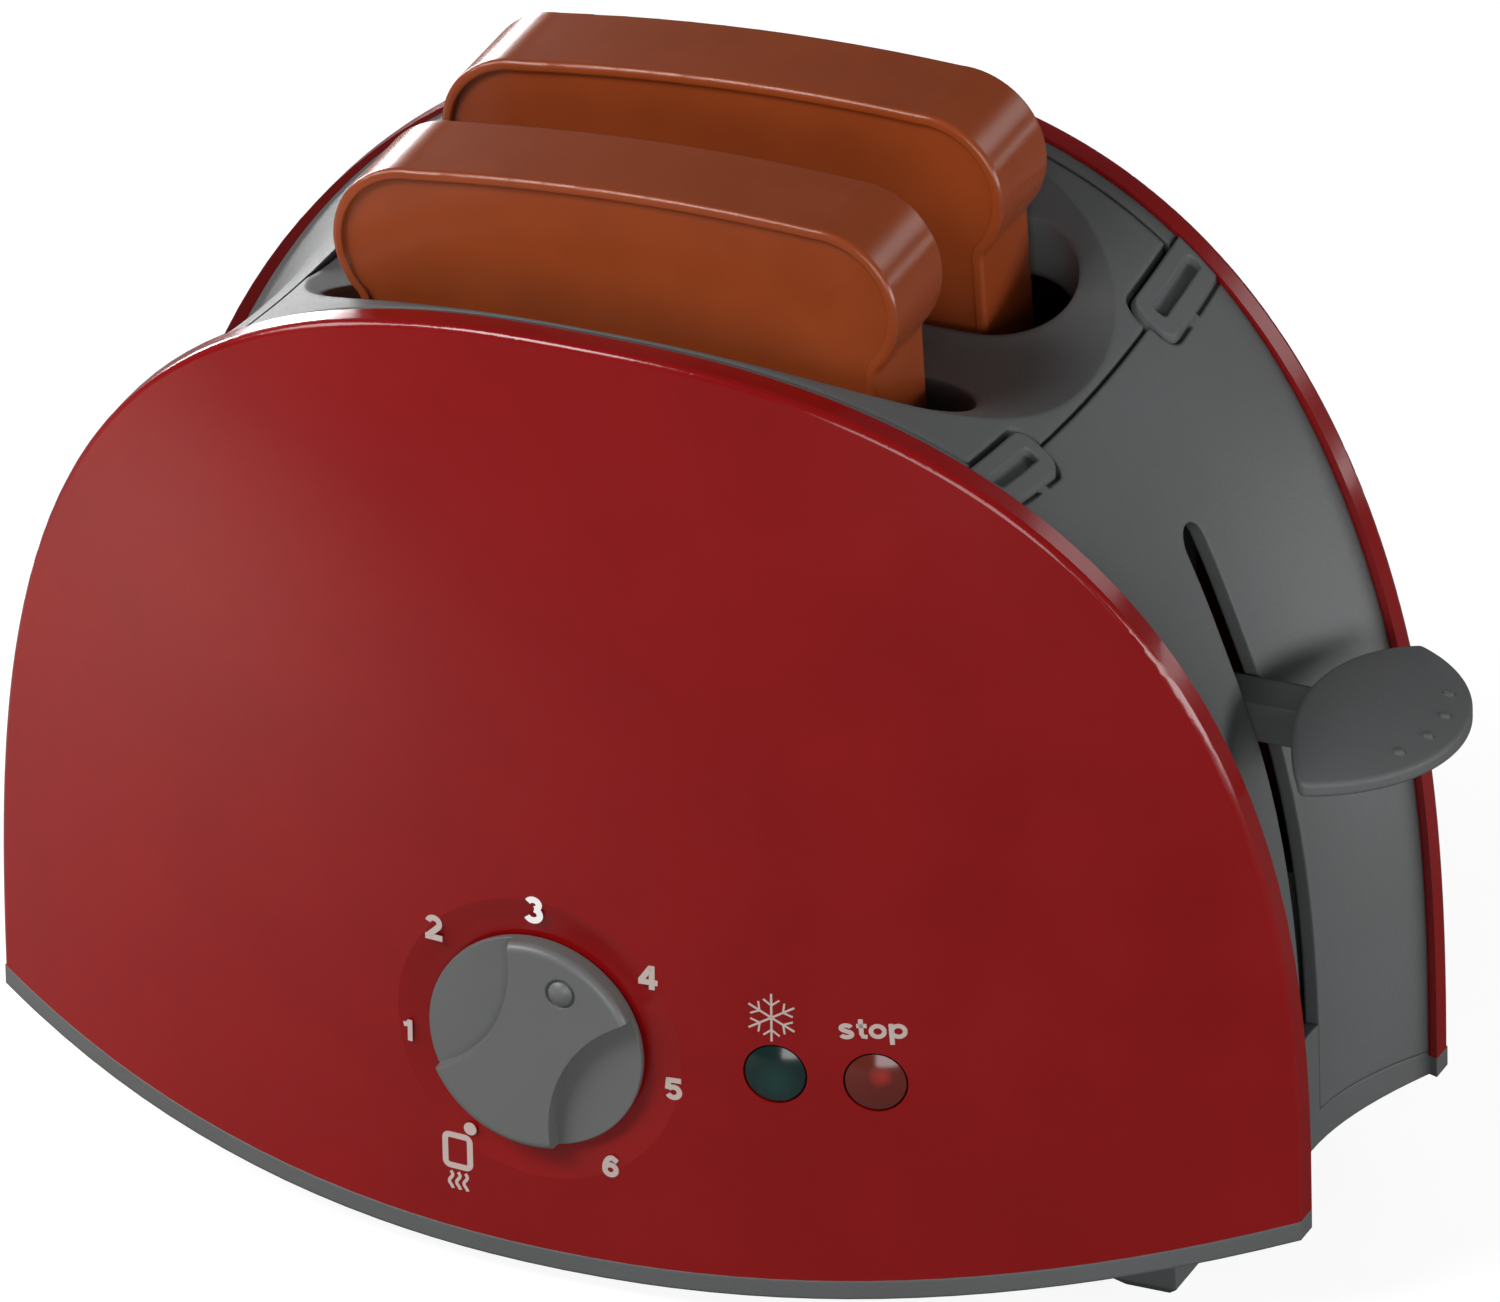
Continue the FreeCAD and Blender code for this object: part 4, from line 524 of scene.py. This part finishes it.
def bend(x, y, across, high, start, end, steps=14):
    """Points along part of an upright ellipse about x, y, with its half axes in mm, from
    one angle to another in degrees."""
    points = []
    for step in range(steps + 1):
        angle = math.radians(start + (end - start) * step / steps)
        points.append(Vector((x + across * math.cos(angle), y + high * math.sin(angle))))
    return points


def path(*corners):
    """Points of a line with straight legs, in mm."""
    return [Vector(corner) for corner in corners]


# Figures as strokes, in mm, centred on x = 0 with their feet at y = 0.
FIGURE_HEIGHT = 4.3
FIGURE_STROKE = 0.98
FIGURES = {
    "1": [path((0.35, 0.0), (0.35, FIGURE_HEIGHT)), path((-0.95, 3.2), (-0.3, 3.35), (0.35, 4.0))],
    "2": [bend(0.0, 2.9, 1.0, 0.92, 168, -38) + path((-0.85, 0.75), (-1.0, 0.45)),
          path((-1.5, 0.48), (1.5, 0.48))],
    "3": [bend(0.0, 3.05, 0.92, 0.77, 155, -75), bend(0.0, 1.4, 1.08, 0.92, 80, -155)],
    "4": [path((0.6, 0.0), (0.6, FIGURE_HEIGHT)), path((0.45, 4.0), (-1.25, 1.55)),
          path((-1.7, 1.3), (1.6, 1.3))],
    "5": [path((-1.0, 3.82), (1.35, 3.82)), path((-0.85, 4.2), (-1.1, 2.0)),
          bend(-0.05, 1.5, 1.1, 1.02, 142, -155)],
    "6": [bend(0.0, 1.45, 1.05, 0.97, 0, 360, 22), bend(0.25, 1.6, 1.3, 2.2, 178, 75),
          path((0.4, 3.8), (1.3, 3.15))],
}


def draw_figure(figure, height):
    """One figure at a height in mm, centred on the origin."""
    size = height / FIGURE_HEIGHT
    middle = Vector((0, FIGURE_HEIGHT / 2))

    def draw(shape):
        for points in FIGURES[figure]:
            stroke(shape, [(point - middle) * size for point in points], FIGURE_STROKE * size)
    return draw


def draw_stop(shape):
    """The word in small bold letters, rising a little towards its end."""
    weight = 0.78
    rise = Matrix.Rotation(math.radians(4.2), 2)
    ring = bend(0.0, 1.42, 1.1, 1.02, 0, 360, 22)
    letters = [
        (-4.45, [bend(0.0, 2.04, 0.85, 0.5, 15, 250, 12)
                 + bend(0.0, 0.84, 0.92, 0.52, 70, -165, 12)]),
        (-1.95, [path((0.0, 3.7), (0.0, 1.0), (0.25, 0.45), (0.95, 0.39)),
                 path((-0.75, 2.45), (0.95, 2.45))]),
        (0.75, [ring]),
        (4.15, [ring, path((-1.15, 2.84), (-1.15, -1.1))]),
    ]
    for place, lines in letters:
        for points in lines:
            stroke(shape, [rise @ (point + Vector((place, 0))) for point in points], weight)


def draw_snowflake(shape):
    """Six arms with one pair of barbs each."""
    arm_start = 0.1
    arm_end = 4.5
    arm_weight = 0.36
    barb_start = 2.3
    barb_length = 1.75
    barb_weight = 0.32
    barb_angle = math.radians(52)
    for arm in range(6):
        angle = math.radians(90 + 60 * arm)
        out = Vector((math.cos(angle), math.sin(angle)))
        stroke(shape, [out * arm_start, out * arm_end], arm_weight)
        foot = out * barb_start
        for side in (-1, 1):
            turn = angle + side * barb_angle
            tip = foot + Vector((math.cos(turn), math.sin(turn))) * barb_length
            stroke(shape, [foot, tip], barb_weight)


def draw_warming_sign(shape):
    """A slice with a raised corner dot, and three waves of heat under it."""
    half_width = 2.35
    half_height = 2.95
    corner = 0.85
    corner_step = 18          # degrees between the points of a rounded corner
    outline_weight = 1.1
    dot_centre = Vector((2.5, 4.9))
    dot_radius = 1.2
    wave_top = -4.1
    wave_height = 3.3
    wave_sway = 0.34
    wave_count = 1.25
    wave_weight = 0.6
    wave_steps = 16
    outline = []
    for quadrant in range(4):
        centre = Vector((
            (half_width - corner) * (1 if quadrant in (0, 3) else -1),
            (half_height - corner) * (1 if quadrant in (0, 1) else -1)))
        for degrees in range(0, 91, corner_step):
            angle = math.radians(90 * quadrant + degrees)
            outline.append(centre + Vector((math.cos(angle), math.sin(angle))) * corner)
    stroke(shape, outline, outline_weight, closed=True)
    dot(shape, dot_centre, dot_radius)
    for column in (-1.4, 0.0, 1.4):
        wave = []
        for step in range(wave_steps + 1):
            fall = step / wave_steps
            sway = wave_sway * math.sin(2 * math.pi * fall * wave_count)
            wave.append(Vector((column + sway, wave_top - wave_height * fall)))
        stroke(shape, wave, wave_weight)


def printed_shape(name, draw, x, z, finish):
    """Draws a sign and prints it on the front panel at x, z in mm about the middle planes."""
    shape = bmesh.new()
    draw(shape)
    bmesh.ops.recalc_face_normals(shape, faces=shape.faces)
    lay_on_panel(piece_from(shape, name), x, z, finish)


# Each figure's middle, and its height, in mm about the middle planes.
LABELS = [
    ("1", -28.5, 43.2, 4.0), ("2", -23.2, 64.15, 4.7), ("3", -4.4, 71.75, 5.0),
    ("4", 16.4, 63.0, 4.5), ("5", 20.65, 42.45, 4.2), ("6", 9.0, 25.5, 4.2)]
for figure, x, z, height in LABELS:
    ink = INK_WHITE if figure == "3" else INK_GREY
    printed_shape("figure_" + figure, draw_figure(figure, height), x, z, ink)
printed_shape("word_stop", draw_stop, 54.9, 56.1, INK_GREY)
printed_shape("snowflake", draw_snowflake, 37.8, 58.5, INK_GREY)
printed_shape("warming_sign", draw_warming_sign, -19.5, 22.15, INK_GREY)


# ---------------------------------------------------------------- floor, light and camera
def floor():
    """A painted board: mid grey to the toaster and its shadow, near white to the eye."""
    reach = 6.0
    grain_size = 4 * MM
    whitening = 0.9
    shape = bmesh.new()
    bmesh.ops.create_grid(shape, x_segments=1, y_segments=1, size=reach)
    piece = piece_from(shape, "floor")
    finish, tree, place = new_finish("painted_board")
    grain = add(
        tree, "ShaderNodeTexNoise", {"Vector": place}, {"Scale": 1 / grain_size, "Detail": 3.0})
    colour = add(
        tree, "ShaderNodeValToRGB", {"Fac": grain.outputs["Fac"]},
        stops=[(0.3, "#7d7d7d"), (0.7, "#808080")])
    matt = add(tree, "ShaderNodeBsdfDiffuse", {"Color": colour.outputs["Color"]})
    seen = add(tree, "ShaderNodeLightPath")
    lift = add(
        tree, "ShaderNodeMath", {0: seen.outputs["Is Camera Ray"]}, {1: whitening},
        operation="MULTIPLY")
    glow = add(
        tree, "ShaderNodeEmission", {"Strength": lift.outputs["Value"]},
        {"Color": linear("#ffffff")})
    both = add(
        tree, "ShaderNodeAddShader", {0: matt.outputs["BSDF"], 1: glow.outputs["Emission"]})
    add(tree, "ShaderNodeOutputMaterial", {"Surface": both.outputs["Shader"]})
    piece.data.materials.append(finish)


def softbox(name, place, aim, size, power, colour="#ffffff", spread=180):
    """A rectangular lamp, aimed at a point; spread is its grid's opening in degrees."""
    lamp = bpy.data.lights.new(name, "AREA")
    lamp.shape = "RECTANGLE"
    lamp.size, lamp.size_y = size
    lamp.energy = power
    lamp.color = linear(colour)[:3]
    lamp.spread = math.radians(spread)
    holder = bpy.data.objects.new(name, lamp)
    holder.location = place
    holder.rotation_mode = "QUATERNION"
    holder.rotation_quaternion = (Vector(aim) - Vector(place)).to_track_quat("-Z", "Y")
    bpy.context.scene.collection.objects.link(holder)


def sky():
    """A little white light from all round, so that no side goes black."""
    world = bpy.data.worlds.new("studio")
    bpy.context.scene.world = world
    world.use_nodes = True
    tree = world.node_tree
    tree.nodes.clear()
    glow = add(tree, "ShaderNodeBackground", None, {"Color": linear("#ffffff"), "Strength": 0.09})
    add(tree, "ShaderNodeOutputWorld", {"Surface": glow.outputs["Background"]})


def camera():
    """Long lens, in front and to the right, looking down on the toaster."""
    azimuth = math.radians(24.10)
    elevation = math.radians(28.40)
    roll = -0.0199
    distance = 4.5176
    target = row_point(6.23, 0.0, 89.36)
    lens_in_pixels = 26706
    image_width = 1500
    sensor_width = 36.0
    back = Vector((
        math.sin(azimuth) * math.cos(elevation),
        -math.cos(azimuth) * math.cos(elevation),
        math.sin(elevation)))
    level = Vector((math.cos(azimuth), math.sin(azimuth), 0))
    upright = back.cross(level)
    right = level * math.cos(roll) + upright * math.sin(roll)
    up = upright * math.cos(roll) - level * math.sin(roll)
    place = target + back * distance
    data = bpy.data.cameras.new("camera")
    data.sensor_width = sensor_width
    data.lens = lens_in_pixels / image_width * sensor_width
    data.clip_start = 0.1
    data.clip_end = 50.0
    holder = bpy.data.objects.new("camera", data)
    holder.matrix_world = Matrix((
        (right.x, up.x, back.x, place.x),
        (right.y, up.y, back.y, place.y),
        (right.z, up.z, back.z, place.z),
        (0, 0, 0, 1)))
    bpy.context.scene.collection.objects.link(holder)
    bpy.context.scene.camera = holder


floor()
sky()
camera()

# Place and aim, then width and height, in metres, and power in watts.
softbox("key_light", (-1.05, -1.35, 1.7), (0, 0, 0.08), (1.0, 0.9), 36)
softbox("low_left_light", (-0.45, -0.22, 0.36), (-0.36, -0.18, 0.0), (0.25, 0.25), 1.4)
softbox(
    "floor_left_light", (-0.45, -0.22, 0.36), (-0.34, -0.2, 0.0), (0.25, 0.25), 0.85,
    colour="#fff0da", spread=60)
softbox("front_right_light", (0.85, -1.8, 0.5), (0, 0, 0.08), (1.2, 0.8), 14)
softbox("right_light", (1.7, 0.0, 0.22), (0, 0, 0.1), (1.8, 0.42), 17)
softbox("back_right_light", (0.8, 1.5, 0.72), (0, 0, 0.12), (0.6, 0.36), 1.2)
softbox("back_low_light", (1.1, 1.5, 0.24), (0, 0, 0.14), (0.5, 0.07), 0.4)
softbox("back_left_light", (-1.6, 1.5, 0.28), (0, 0, 0.1), (1.2, 0.35), 26)
bpy.context.scene.view_settings.view_transform = "Standard"
